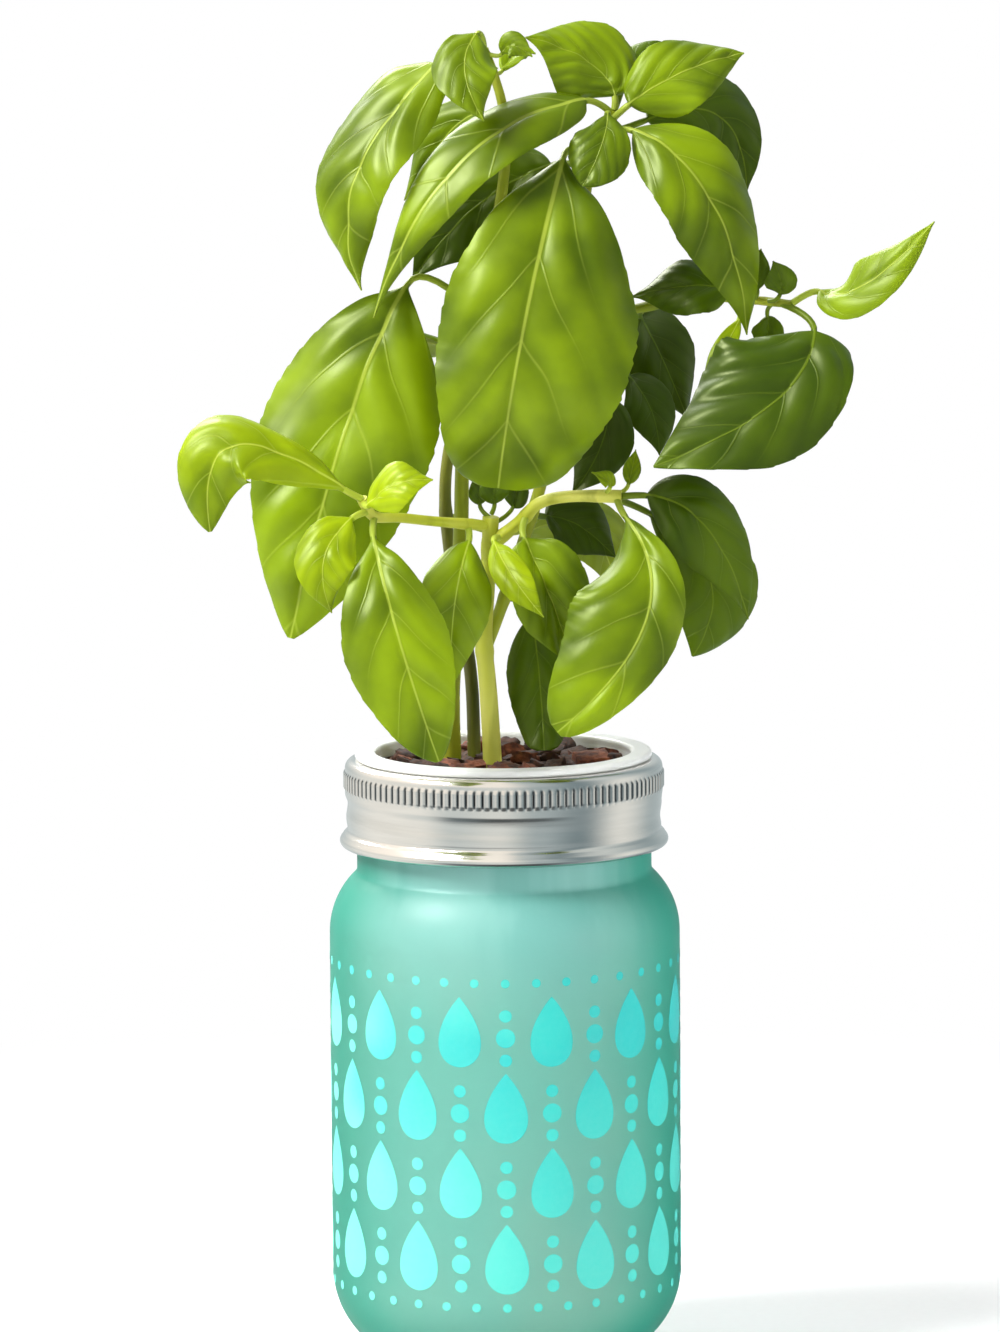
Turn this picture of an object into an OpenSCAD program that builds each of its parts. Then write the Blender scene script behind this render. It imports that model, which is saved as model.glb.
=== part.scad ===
/* [Jar] */
// Outside diameter of the jar's straight wall
jar_d = 95.2; // [86:0.2:104]
// Height of the jar from its foot to the rim of its mouth
jar_h = 164.4; // [150:0.2:190]
// Thickness of the glass
jar_wall = 3; // [2:0.25:4]
// Thickness of the glass floor
jar_floor_t = 5; // [3:0.5:8]
// Radius of the rounded heel
heel_r = 25; // [18:1:28]
// Radius of the rounded shoulder
shoulder_r = 22; // [14:1:26]
// Outside diameter of the neck
neck_d = 80; // [76:0.2:84]
// Height of the neck, from the shoulder's end to the rim
neck_h = 29; // [26:0.5:34]
// Radius of the hollow where the shoulder meets the neck
neck_fillet = 2.5; // [1:0.5:4]
// Width of the flat ring that the jar stands on
foot_ring_w = 6; // [4:0.5:8]
// Height of the hollow inside the foot ring
foot_hollow = 1.5; // [0.5:0.25:2.5]

/* [Screw band] */
// Thickness of the band's sheet metal
band_t = 0.6; // [0.4:0.1:1]
// Gap between the glass neck and the inside of the band's waist
band_gap = 1.8; // [1.2:0.1:2.6]
// Height of the whole band
band_h = 23.6; // [20:0.2:25]
// Width of the flange that lies on the rim, from the inside of the waist
flange_w = 4.4; // [3.6:0.2:5]
// How far the knurled zone stands out from the waist
knurl_step = 0.7; // [0.4:0.1:1.2]
// Number of knurls round the band
knurl_count = 120; // [60:4:160]
// Depth of one knurl
knurl_depth = 0.45; // [0.2:0.05:0.8]
// Height of the knurled zone
knurl_h = 5.1; // [3:0.1:7]
// Radius of the rolled bead at the band's foot
bead_r = 1.5; // [1:0.1:2]
// How far the bead stands out from the waist
bead_out = 2.2; // [1.6:0.1:3]

/* [Net cup] */
// Outside diameter of the cup's lip
lip_d = 80.6; // [78:0.2:86]
// Thickness of the lip
lip_t = 2.2; // [1.4:0.1:3]
// Gap between the basket's top and the jar's mouth
cup_gap = 0.8; // [0.4:0.1:1.6]
// Depth of the basket under the lip
cup_depth = 62; // [45:1:80]
// Outside diameter of the basket's foot
cup_foot_d = 50; // [40:1:60]
// Thickness of the basket's wall
cup_wall = 1.6; // [1.2:0.1:2.4]
// Number of slot columns round the basket
slot_columns = 12; // [8:1:14]
// Number of slot rows
slot_rows = 2; // [1:1:3]
// Width of a slot
slot_w = 5; // [3:0.5:6]
// Height of the solid bars above, between and under the slots
slot_bar = 6; // [4:0.5:10]
// Number of slots in the basket's floor
floor_slots = 10; // [6:1:12]

/* [Medium and wick] */
// How far the medium's top lies below the lip's top
soil_drop = 3.2; // [3:0.1:10]
// Gap between the coir plug and the basket's wall
plug_gap = 0.3; // [0.2:0.1:1]
// Width of the wick
wick_w = 14; // [8:0.5:18]
// Thickness of the wick
wick_t = 4; // [2:0.5:6]
// Gap round the wick in the basket's floor
wick_gap = 0.5; // [0.3:0.1:1]
// How far the wick reaches up into the plug
wick_grip = 30; // [15:1:35]
// Height of the wick's end above the jar's floor
wick_clear = 5; // [3:1:20]
// Number of bark chips in the outer ring
chip_count = 12; // [8:1:13]
// Length of the largest bark chip
chip_l = 11; // [7:0.5:12]

/* [Plant] */
// Height of the foliage above the medium
plant_h = 198; // [160:1:220]
// Diameter of the main stems at the medium
stem_d = 5.4; // [4:0.1:6]
// Diameter of the side branches
branch_d = 2.8; // [2:0.1:4]
// Depth of a stem's root in the plug
root_depth = 18; // [10:1:25]
// Diameter of a leaf's stalk
stalk_d = 1.8; // [1.2:0.1:2.4]
// Diameter of a bud's stalk
bud_stalk_d = 1.2; // [0.8:0.1:1.8]
// Thickness of a leaf's blade
leaf_t = 0.6; // [0.4:0.1:1]

/* [Hidden] */
$fn = 96;
eps = 0.01;

// Heights that the pieces share
jar_r = jar_d / 2;
neck_r = neck_d / 2;
mouth_r = neck_r - jar_wall;
band_top = jar_h + band_t;
band_foot = band_top - band_h;
waist_r = neck_r + band_gap + band_t;
lip_top = band_top + lip_t;
soil_z = lip_top - soil_drop;
cup_floor = band_top - cup_depth;
basket_r = mouth_r - cup_gap;
cup_foot_r = cup_foot_d / 2;

// Points of an arc about c, from angle a to angle b, in n steps
function arc(c, r, a, b, n) = [for (i = [0:n]) c + r * [cos(a + (b - a) * i / n), sin(a + (b - a) * i / n)]];

// The jar's outline: heel, wall, shoulder and neck
heel_flat = 0.4;
heel_c = [jar_r - heel_r, heel_r - heel_flat];
shoulder_run = neck_r + neck_fillet - (jar_r - shoulder_r);
shoulder_rise = sqrt(pow(shoulder_r + neck_fillet, 2) - pow(shoulder_run, 2));
shoulder_c = [jar_r - shoulder_r, jar_h - neck_h - shoulder_rise];
fillet_c = shoulder_c + [shoulder_run, shoulder_rise];
shoulder_a = atan2(shoulder_rise, shoulder_run);
foot_out = heel_c[0] + sqrt(pow(heel_r, 2) - pow(heel_c[1], 2));
rim_round = 1;
inner_shoulder_a = acos((mouth_r - shoulder_c[0]) / (shoulder_r - jar_wall));
inner_heel_a = asin((heel_c[1] - jar_floor_t) / (heel_r - jar_wall));

module glass_jar() {
    color([0.45, 0.78, 0.72])
    rotate_extrude()
    polygon(concat(
        [[0, foot_hollow], [foot_out - foot_ring_w - foot_hollow, foot_hollow], [foot_out - foot_ring_w, 0]],
        arc(heel_c, heel_r, -acos((foot_out - heel_c[0]) / heel_r), 0, 10),
        arc(shoulder_c, shoulder_r, 0, shoulder_a, 10),
        arc(fillet_c, neck_fillet, 180 + shoulder_a, 180, 4),
        arc([neck_r - rim_round, jar_h - rim_round], rim_round, 0, 90, 4),
        arc([mouth_r + rim_round, jar_h - rim_round], rim_round, 90, 180, 4),
        arc(shoulder_c, shoulder_r - jar_wall, inner_shoulder_a, 0, 10),
        arc(heel_c, heel_r - jar_wall, 0, -inner_heel_a, 10),
        [[0, jar_floor_t]]
    ));
}

// The band's outline from the flange down to the bead
flange_r = neck_r + band_gap - flange_w;
knurl_r = waist_r + knurl_step;
corner_r = 2.4;
corner_lead = 0.6;
knurl_foot = band_top - corner_r - corner_lead - knurl_h;
step_top = knurl_foot - 1.2;
step_foot = step_top - 2.2;
bead_c = [waist_r + bead_out - bead_r, band_foot + bead_r];
bead_lead = 2.4;

function band_outline(cut) = concat(
    arc([knurl_r - corner_r, band_top - corner_r], corner_r - cut, 90, 0, 6),
    [[knurl_r - cut, step_top], [waist_r - cut, step_foot]],
    [[waist_r - cut, bead_c[1] + bead_r + bead_lead], [bead_c[0] - cut, bead_c[1] + bead_r]],
    arc(bead_c, bead_r - cut, 60, -90, 6)
);

module band_sheet() {
    outside = band_outline(0);
    inside = band_outline(band_t);
    rotate_extrude()
    polygon(concat(
        [[flange_r, band_top]],
        outside,
        [for (i = [len(inside) - 1:-1:0]) inside[i]],
        [[flange_r, band_top - band_t]]
    ));
}

// Ring of knurls: a toothed outline whose roots lie inside the sheet
module band_knurls() {
    step = 360 / knurl_count;
    tooth = [[-0.5, 0], [-0.22, 1], [0.22, 1]];
    root_r = knurl_r - 0.05;
    translate([0, 0, knurl_foot])
    linear_extrude(height = knurl_h)
    difference() {
        polygon([for (i = [0:knurl_count - 1], p = tooth)
            (root_r + knurl_depth * p[1]) * [cos((i + p[0]) * step), sin((i + p[0]) * step)]]);
        circle(r = knurl_r - band_t / 2);
    }
}

module screw_band() {
    color([0.93, 0.92, 0.86])
    union() {
        band_sheet();
        band_knurls();
    }
}

// Basket wall's outer radius at height z
cut_room = 3;
floor_slot_w = 2.5;

function basket_at(z) = cup_foot_r + (basket_r - cup_foot_r) * (z - cup_floor) / cup_depth;

module slot_cutter(w, h) {
    start = cup_foot_r - cup_wall - cut_room;
    translate([start, 0, 0])
    rotate([90, 0, 90])
    linear_extrude(height = basket_r + cut_room - start)
    union() {
        translate([-w / 2, w / 2])
        square([w, h - w]);
        translate([0, w / 2])
        circle(d = w, $fn = 24);
        translate([0, h - w / 2])
        circle(d = w, $fn = 24);
    }
}

module wick_outline(grow) {
    flat = wick_w - wick_t;
    union() {
        translate([-flat / 2, -wick_t / 2 - grow])
        square([flat, wick_t + 2 * grow]);
        for (side = [-1, 1])
            translate([side * flat / 2, 0])
            circle(d = wick_t + 2 * grow, $fn = 32);
    }
}

module net_cup() {
    inner_r = basket_r - cup_wall;
    slot_h = (cup_depth - slot_bar * (slot_rows + 1)) / slot_rows;
    slot_start = wick_w / 2 + cut_room;
    edge = lip_t / 2;
    color([0.96, 0.96, 0.94])
    difference() {
        rotate_extrude()
        polygon(concat(
            [[0, cup_floor], [cup_foot_r - cup_wall, cup_floor], [cup_foot_r, cup_floor + cup_wall]],
            [[basket_r, band_top]],
            arc([lip_d / 2 - edge, band_top + edge], edge, -90, 90, 8),
            arc([inner_r + edge, lip_top - edge], edge, 90, 180, 4),
            [[inner_r, band_top], [cup_foot_r - cup_wall, cup_floor + cup_wall], [0, cup_floor + cup_wall]]
        ));
        for (i = [0:slot_columns - 1], row = [0:slot_rows - 1])
            rotate([0, 0, (i + 0.5) * 360 / slot_columns])
            translate([0, 0, cup_floor + slot_bar + row * (slot_h + slot_bar)])
            slot_cutter(slot_w, slot_h);
        for (i = [0:floor_slots - 1])
            rotate([0, 0, (i + 0.5) * 360 / floor_slots])
            translate([slot_start, -floor_slot_w / 2, cup_floor - eps])
            cube([cup_foot_r - cup_wall - cut_room - slot_start, floor_slot_w, cup_wall + 2 * eps]);
        translate([0, 0, cup_floor - eps])
        linear_extrude(height = cup_wall + 2 * eps)
        wick_outline(wick_gap);
    }
}

// Growing medium: fills the basket, holds the wick and the roots
plug_foot = cup_floor + cup_wall;

module coir_plug() {
    foot_r = cup_foot_r - cup_wall - plug_gap;
    top_r = basket_at(soil_z) - cup_wall - plug_gap;
    color([0.32, 0.2, 0.12])
    difference() {
        translate([0, 0, plug_foot])
        cylinder(r1 = foot_r, r2 = top_r, h = soil_z - plug_foot);
        translate([0, 0, plug_foot - eps])
        linear_extrude(height = wick_grip + eps)
        wick_outline(0);
        for (row = STEMS)
            if (row[3] >= 0)
                translate([ROOTS[row[3]][0], ROOTS[row[3]][1], soil_z - root_depth])
                cylinder(d = row[5], h = root_depth + eps, $fn = 32);
    }
}

module wick() {
    foot = jar_floor_t + wick_clear;
    color([0.9, 0.88, 0.8])
    translate([0, 0, foot])
    linear_extrude(height = plug_foot + wick_grip - foot)
    wick_outline(0);
}

// Bark chips: angular blocks in two rings, cut flat where they lie on the medium, clear of the stems.
// Chip sizes, sinks and gaps are shares of the largest chip's length.
chip_sink = 0.03;
ring_edge = 0.62;
ring_step = 1.1;
inner_share = 0.58;
stem_room = 1.6;

module chip(at, size, turn) {
    translate([at[0], at[1], size[2] * chip_sink])
    rotate(turn)
    cube(size, center = true);
}

module chip_ring(r, n, shift) {
    for (i = [0:n - 1]) {
        a = 360 * (i + shift) / n;
        s = 0.72 + 0.2 * sin(i * 137 + shift * 100);
        chip(
            r * [cos(a), sin(a)],
            chip_l * [s, 0.74 * s, 0.6 - 0.22 * s],
            [18 * sin(i * 97), 14 * cos(i * 61), a + 25 * sin(i * 71)]
        );
    }
}

module bark_chips() {
    soil_r = basket_at(soil_z) - cup_wall;
    outer_r = soil_r - chip_l * ring_edge;
    color([0.36, 0.22, 0.14])
    translate([0, 0, soil_z])
    difference() {
        intersection() {
            union() {
                chip_ring(outer_r, chip_count, 0);
                chip_ring(outer_r - chip_l * ring_step, round(chip_count * inner_share), 0.5);
            }
            cylinder(r = soil_r - plug_gap, h = chip_l);
        }
        for (root = ROOTS)
            translate([root[0], root[1], -eps])
            cylinder(d = stem_d + stem_room, h = chip_l + 2 * eps, $fn = 32);
    }
}

// Plant routes: x to the right, y away, z above the medium, drawn for a plant 198 mm tall
drawn_scale = 198;
grow = plant_h / drawn_scale;
ROOTS = [[-14, 2], [-3, -6], [-8, 13]];

// Each stem: name, parent, place on the parent, root or none, points, start and end diameter
STEMS = [
    ["stem_left", "", 0, 0,
        [[-14, 1, 20], [-12, -1, 44], [-11, -2, 66], [-10, 0, 90], [-5, 2, 125], [1, 2, 157],
            [1, -2, 177], [-4, -4, 193]],
        stem_d, branch_d * 0.8],
    ["stem_main", "", 0, 1, [[-4, -8, 20], [-5, -8, 34], [-4, -10, 50], [-3, -12, 68]],
        stem_d, stem_d * 0.7],
    ["stem_back", "", 0, 2,
        [[-9, 14, 24], [-14, 15, 53], [-15, 16, 78], [-8, 18, 104], [6, 18, 126], [12, 14, 147]],
        stem_d * 0.7, branch_d],
    ["stem_right", "stem_main", 0.56, -1,
        [[1, -1, 46], [10, 3, 73], [18, 7, 103], [21, 6, 133], [24, 4, 158], [31, 0, 176]],
        branch_d * 1.2, branch_d],
    ["branch_upper_right", "stem_right", 0.58, -1,
        [[37, 9, 122], [53, 6, 125], [66, 0, 125], [78, -4, 124]],
        branch_d, branch_d * 0.7],
    ["branch_left", "stem_main", 0.96, -1,
        [[-17, -23, 68], [-27, -31, 70], [-34, -36, 71], [-37, -39, 76]],
        branch_d, branch_d * 0.9],
    ["branch_right", "stem_main", 0.9, -1,
        [[5, -14, 67], [10, -16, 72], [18, -18, 74], [32, -19, 74]],
        branch_d * 1.25, branch_d * 1.1]
];

// Each leaf: name, stem, place on it, base, middle and tip of its midrib, width, the way its upper side
// faces, its bends (fold at the midrib, curl of its halves, twist at its tip, in degrees) and its form
// (where it is widest, how pointed its tip is, how much wider one half is, how pointed its base is)
soft = [12, 42, 0];
full = [15, 45, 0];
plain = [0.85, 0.5, 0, 0];
LEAVES = [
    ["leaf_crown_left", "stem_left", 0.965, [-16, -8, 189], [-38, -16, 160], [-37, -14, 129],
        28, [-0.5, -0.8, 0.4], soft, [0.65, 0.5, 0.1, 0]],
    ["leaf_crown_front", "stem_left", 1, [-6, -12, 197], [-9, -22, 188], [-4, -28, 175],
        18, [0, -1, 0.6], soft, plain],
    ["leaf_crown_back", "stem_left", 0.86, [-5, 8, 175], [-14, 14, 169], [-26, 16, 151],
        16, [0, -1, 0.5], soft, plain],
    ["leaf_high_left", "stem_right", 0.984, [23, -5, 179], [-11, -22, 163], [-34, -20, 122],
        21, [-0.2, -0.8, 0.7], soft, [0.65, 0.5, 0, 0]],
    ["leaf_under_left", "stem_right", 0.85, [14, 8, 161], [-6, 9, 150], [-24, 9, 130],
        28, [0, -1, 0.4], soft, plain],
    ["leaf_centre_large", "stem_right", 0.88, [17, -10, 164], [6, -34, 120], [-1, -26, 77],
        54, [0, -1, 0.15], soft, [1, -0.35, -0.15, 0.18]],
    ["leaf_top_middle", "stem_right", 0.998, [31, 1, 180], [24, 2, 189], [7, -3, 196],
        27, [0.1, -0.9, 0.5], soft, plain],
    ["leaf_top_right", "stem_right", 0.96, [35, -4, 178], [49, 1, 186], [66, 4, 191],
        22, [0.1, -0.9, 0.5], soft, plain],
    ["leaf_top_behind", "stem_right", 0.945, [33, 9, 181], [38, 15, 189], [46, 20, 193],
        12, [0.1, -0.8, 0.7], soft, plain],
    ["leaf_right_shade", "stem_right", 0.925, [40, 10, 173], [60, 17, 173], [67, 20, 152],
        23, [0.3, -0.9, 0.2], soft, plain],
    ["leaf_node_small", "stem_right", 0.93, [29, -8, 175], [27, -15, 167], [22, -18, 157],
        17, [0, -1, 0.3], soft, [1.2, 0, 0, -0.2]],
    ["leaf_right_drooping", "stem_right", 0.895, [36, -8, 171], [56, -17, 153], [66, -10, 116],
        28, [0.3, -0.9, 0.4], full, plain],
    ["leaf_right_inner", "branch_upper_right", 0.76, [62, -1, 128], [50, -3, 129], [35, -2, 126],
        18, [0, -0.8, 0.6], soft, plain],
    ["leaf_shade_high", "branch_upper_right", 0.3, [38, 17, 119], [44, 26, 107], [51, 27, 90],
        20, [0, -1, 0.3], soft, plain],
    ["leaf_shade_middle", "stem_right", 0.53, [35, 13, 103], [41, 18, 93], [43, 19, 81],
        14, [0, -1, 0.3], soft, plain],
    ["leaf_shade_low", "stem_right", 0.48, [29, 12, 97], [27, 15, 84], [19, 16, 71],
        17, [0, -1, 0.3], soft, plain],
    ["leaf_right_large", "branch_upper_right", 0.92, [84, -11, 117], [72, -25, 99], [40, -31, 83],
        39, [0.1, -0.9, 0.5], soft, [0.8, 0.3, 0.2, -0.3]],
    ["leaf_far_right", "branch_upper_right", 1, [86, -2, 127], [98, -12, 130], [116, -16, 147],
        16, [0.1, -0.8, 0.6], soft, plain],
    ["leaf_right_strip", "branch_upper_right", 0.7, [64, -7, 120], [59, -13, 112], [54, -15, 105],
        6, [0, -1, 0.3], soft, plain],
    ["leaf_left_large", "stem_left", 0.655, [-25, -4, 130], [-41, -16, 94], [-57, -20, 36],
        50, [-0.2, -0.95, 0.2], soft, [1.1, 0.13, 0, 0.3]],
    ["leaf_far_left", "branch_left", 0.995, [-42, -41, 79], [-71, -47, 91], [-77, -46, 68],
        25, [0, -0.7, 0.7], [15, 50, 0], [1.1, 0.1, 0, 0]],
    ["leaf_left_small_up", "branch_left", 0.94, [-35, -44, 75], [-28, -49, 81], [-18, -49, 82],
        15, [0, -0.8, 0.6], soft, plain],
    ["leaf_left_small_down", "branch_left", 0.83, [-40, -43, 71], [-47, -51, 61], [-45, -51, 47],
        17, [-0.1, -1, 0.3], soft, plain],
    ["leaf_front_long", "branch_left", 0.74, [-34, -43, 66], [-27, -58, 40], [-17, -57, 8],
        29, [0, -1, 0.2], full, [1.05, 0, 0.08, 0.2]],
    ["leaf_front_second", "branch_left", 0.12, [-9, -20, 62], [-13, -33, 45], [-14, -34, 24],
        20, [0.1, -1, 0.2], soft, plain],
    ["leaf_front_small", "branch_right", 0.1, [-2, -22, 62], [3, -34, 54], [11, -39, 44],
        10, [0, -1, 0.2], full, plain],
    ["leaf_front_folded", "branch_right", 0.32, [6, -21, 63], [13, -26, 47], [20, -27, 27],
        24, [0.3, -0.9, 0.2], [35, 40, 0], plain],
    ["leaf_low_dark", "stem_right", 0.16, [8, 2, 40], [10, -2, 21], [11, -9, 4],
        18, [0, -1, 0.2], soft, [0.85, -0.3, 0, 0.3]],
    ["leaf_right_front", "branch_right", 0.96, [33, -24, 69], [38, -44, 44], [14, -46, 14],
        31, [0, -1, 0.2], full, [1.1, -0.2, 0.35, 0.2]],
    ["leaf_right_back", "branch_right", 0.985, [39, -17, 74], [55, -18, 65], [66, -16, 40],
        23, [0.2, -0.9, 0.4], soft, plain],
    ["leaf_right_low", "branch_right", 0.9, [40, -8, 68], [56, -4, 50], [51, -7, 29],
        27, [0.2, -1, -0.1], soft, [1.15, 0.3, 0, 0]],
    ["leaf_low_back", "stem_right", 0.3, [12, 6, 66], [21, 9, 63], [31, 10, 54],
        18, [0, -1, 0.4], soft, plain],
    ["leaf_back_left", "stem_left", 0.6, [-14, 14, 112], [-34, 38, 108], [-44, 52, 84],
        26, [-0.2, 0.8, 0.6], soft, plain],
    ["leaf_back_right", "stem_back", 0.79, [10, 28, 120], [24, 46, 114], [32, 56, 90],
        25, [0.2, 0.8, 0.6], soft, plain],
    ["leaf_back_low", "stem_back", 0.5, [6, 28, 60], [24, 46, 58], [32, 56, 36],
        24, [0.1, 0.8, 0.6], soft, plain]
];

// Small leaves that open at the tips of the shoots, each group one node of separate solids:
// stem, place on it, base, middle, tip, width and facing of each
BUDS = [
    ["buds_top", [
        ["stem_left", 0.985, [1, -6, 192], [4, -8, 194], [9, -10, 191], 8, [0, -1, 0.5]],
        ["stem_left", 0.95, [1, 3, 187], [5, 7, 191], [10, 8, 191], 7, [0, -0.6, 0.8]]
    ]],
    ["buds_centre", [
        ["stem_main", 1, [-2, -15, 72], [-2, -17, 76], [-1, -17, 82], 8, [0, -1, 0]],
        ["stem_main", 0.985, [-6, -9, 71], [-6, -9, 75], [-5, -10, 81], 6, [-0.4, -1, 0]],
        ["stem_main", 0.96, [3, -8, 70], [4, -8, 74], [4, -9, 81], 7, [0.3, -1, 0]]
    ]],
    ["buds_node", [
        ["branch_right", 0.9, [29, -21, 77], [28, -22, 79], [24, -23, 81], 5, [0, -0.8, 0.6]],
        ["branch_right", 0.95, [34, -15, 77], [35, -14, 81], [36, -13, 86], 5, [0, -1, 0.2]]
    ]],
    ["buds_right", [
        ["branch_upper_right", 0.79, [69, -4, 128], [69, -4, 134], [70, -5, 139], 7, [0, -1, 0.2]],
        ["branch_upper_right", 0.85, [75, -7, 127], [75, -8, 131], [73, -8, 136], 9, [0, -1, 0.3]],
        ["branch_upper_right", 0.895, [72, 4, 120], [72, 5, 115], [70, 4, 110], 9, [0, -1, 0.3]]
    ]]
];
bud_bends = [25, 40, 0];

function unit(v) = v / norm(v);
function row_of(table, name) = table[search([name], table)[0]];

// A stem's points: its root in the medium or a place on its parent, then its route
function stem_points(row) = concat(
    row[3] < 0
        ? [stem_at(row[1], row[2])]
        : [for (z = [soil_z - root_depth, soil_z]) [ROOTS[row[3]][0], ROOTS[row[3]][1], z]],
    [for (p = row[4]) p * grow + [0, 0, soil_z]]
);

// Smooth curve through a list of points, at place u from 0 to 1
function curve_at(p, u) =
    let (n = len(p) - 1, s = min(u * n, n - 1e-6), i = floor(s), t = s - i)
    let (a = p[max(i - 1, 0)], b = p[i], c = p[i + 1], d = p[min(i + 2, n)])
    0.5 * (2 * b + (c - a) * t + (2 * a - 5 * b + 4 * c - d) * t * t + (3 * b - a - 3 * c + d) * t * t * t);

function stem_at(name, u) = curve_at(stem_points(row_of(STEMS, name)), u);

// Where a stalk grows out of a stem: just under the stem's skin, on the side of the leaf's base
graft_sink = 0.6;

function graft(name, u, base, stalk) =
    let (row = row_of(STEMS, name), c = stem_at(name, u))
    let (radius = (row[5] + (row[6] - row[5]) * u) / 2)
    c + unit(base - c) * max(radius - stalk * graft_sink, 0);

// Closed solid from rings of points, all with the same number of points
module loft(rings) {
    n = len(rings[0]);
    m = len(rings);
    points = [for (ring = rings, p = ring) p];
    sides = [for (i = [0:m - 2], j = [0:n - 1], k = [0, 1])
        let (a = i * n + j, b = i * n + (j + 1) % n)
        k == 0 ? [a, b + n, b] : [a, a + n, b + n]];
    start = [for (j = [1:n - 2]) [0, j, j + 1]];
    end = [for (j = [1:n - 2]) [(m - 1) * n, (m - 1) * n + j + 1, (m - 1) * n + j]];
    polyhedron(points, concat(sides, start, end), convexity = 6);
}

stem_sides = 8;

module stem_solid(row) {
    p = stem_points(row);
    rooted = row[3] >= 0;
    steps = 3 * (len(p) - 1);
    loft([for (i = [0:steps])
        let (u = i / steps, du = 0.5 / steps)
        let (straight = rooted && u * (len(p) - 1) <= 1)
        let (dir = straight ? [0, 0, 1] : unit(curve_at(p, min(u + du, 1)) - curve_at(p, max(u - du, 0))))
        let (c = straight ? [p[0][0], p[0][1], p[0][2] + u * (len(p) - 1) * root_depth] : curve_at(p, u))
        let (side = unit(cross(dir, [0, 1, 0])), up = cross(side, dir))
        let (r = (row[5] + (row[6] - row[5]) * u) / 2)
        [for (j = [0:stem_sides - 1])
            let (a = -360 * (j + 0.5) / stem_sides)
            c + r * (cos(a) * side + sin(a) * up)]]);
}

module stem(name) {
    color([0.62, 0.72, 0.3])
    stem_solid(row_of(STEMS, name));
}

// Half of a leaf's width at place t along its blade, as a share of the widest half
roundness = 0.62;

function leaf_shape(t, form) =
    pow(sin(180 * pow(t, form[0])), roundness + form[1] * t + form[3] * (1 - t));

// One half of the blade as an arc: how far out and how far up at share s of the half width
function blade_out(s, fold, curl) = (sin(fold) - sin(fold - curl * s)) / (curl * PI / 180);
function blade_up(s, fold, curl) = (cos(fold - curl * s) - cos(fold)) / (curl * PI / 180);

blade_places = [0, 0.03, 0.1, 0.2, 0.32, 0.45, 0.58, 0.7, 0.82, 0.92, 0.985];
stalk_places = [0, 0.5];
stalk_end = 12;
tip_half = 0.25;
shoulder = 0.85;

// Blade and stalk as one loft: the stalk is round, and it runs on as the midrib under the blade
module leaf_solid(from, base, middle, tip, width, face, bends, form, stalk) {
    bend = 2 * middle - (base + tip) / 2;
    lead = base - unit(bend - base) * norm(base - from) * 0.4;
    stalk_rings = [for (u = stalk_places)
        let (c = pow(1 - u, 2) * from + 2 * u * (1 - u) * lead + u * u * base)
        let (dir = unit((1 - u) * (lead - from) + u * (base - lead)))
        leaf_ring(c, dir, face, stalk / 2, stalk / 2, stalk / 2, stalk / 2, [0, 1, 0], 0)];
    blade_rings = [for (t = blade_places)
        let (c = pow(1 - t, 2) * base + 2 * t * (1 - t) * bend + t * t * tip)
        let (dir = unit((1 - t) * (bend - base) + t * (tip - bend)))
        let (half = max(width / 2 * leaf_shape(t, form), stalk / 2 * (1 - t), tip_half))
        let (start = max(1 - t * stalk_end, 0))
        let (skin = leaf_t / 2 + (stalk - leaf_t) / 2 * start)
        let (rib = stalk / 2 + (leaf_t - stalk) / 2 * sqrt(t))
        leaf_ring(c, dir, face, half, skin, rib, skin,
            [bends[0] * (1 - start), bends[1], bends[2] * t], form[2] * (1 - start))];
    loft(concat(stalk_rings, blade_rings));
}

// One section across a leaf: half its width, the top's height, the rib's depth and the blade's half thickness
function leaf_ring(c, dir, face, half, top, rib, thin, bends, lean) =
    let (side0 = unit(cross(dir, face)), up0 = cross(side0, dir))
    let (side = cos(bends[2]) * side0 + sin(bends[2]) * up0, up = cross(side, dir))
    let (section = [[-1, 0], [-0.5, top * shoulder], [0, top], [0.5, top * shoulder],
        [1, 0], [0.5, -thin * shoulder], [0, -rib], [-0.5, -thin * shoulder]])
    [for (q = section)
        let (s = abs(q[0]), way = sign(q[0]))
        let (out = way * blade_out(s, bends[0], bends[1]), lift = blade_up(s, bends[0], bends[1]))
        c + half * (1 + way * lean) * (out * side + lift * up) + q[1] * up];

function placed(points) = [for (p = points) p * grow + [0, 0, soil_z]];

module leaf(name) {
    row = row_of(LEAVES, name);
    at = placed([row[3], row[4], row[5]]);
    start = graft(row[1], row[2], at[0], stalk_d);
    color([0.36, 0.58, 0.14])
    leaf_solid(start, at[0], at[1], at[2], row[6] * grow, row[7], row[8], row[9], stalk_d);
}

module buds(name) {
    color([0.5, 0.68, 0.2])
    for (row = row_of(BUDS, name)[1]) {
        at = placed([row[2], row[3], row[4]]);
        start = graft(row[0], row[1], at[0], bud_stalk_d);
        leaf_solid(start, at[0], at[1], at[2], row[5] * grow, row[6], bud_bends, plain, bud_stalk_d);
    }
}

glass_jar();
screw_band();
net_cup();
coir_plug();
wick();
bark_chips();
for (row = STEMS) stem(row[0]);
for (row = LEAVES) leaf(row[0]);
for (row = BUDS) buds(row[0]);
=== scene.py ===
import math
import random

import bpy
from mathutils import Matrix, Vector, noise


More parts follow.
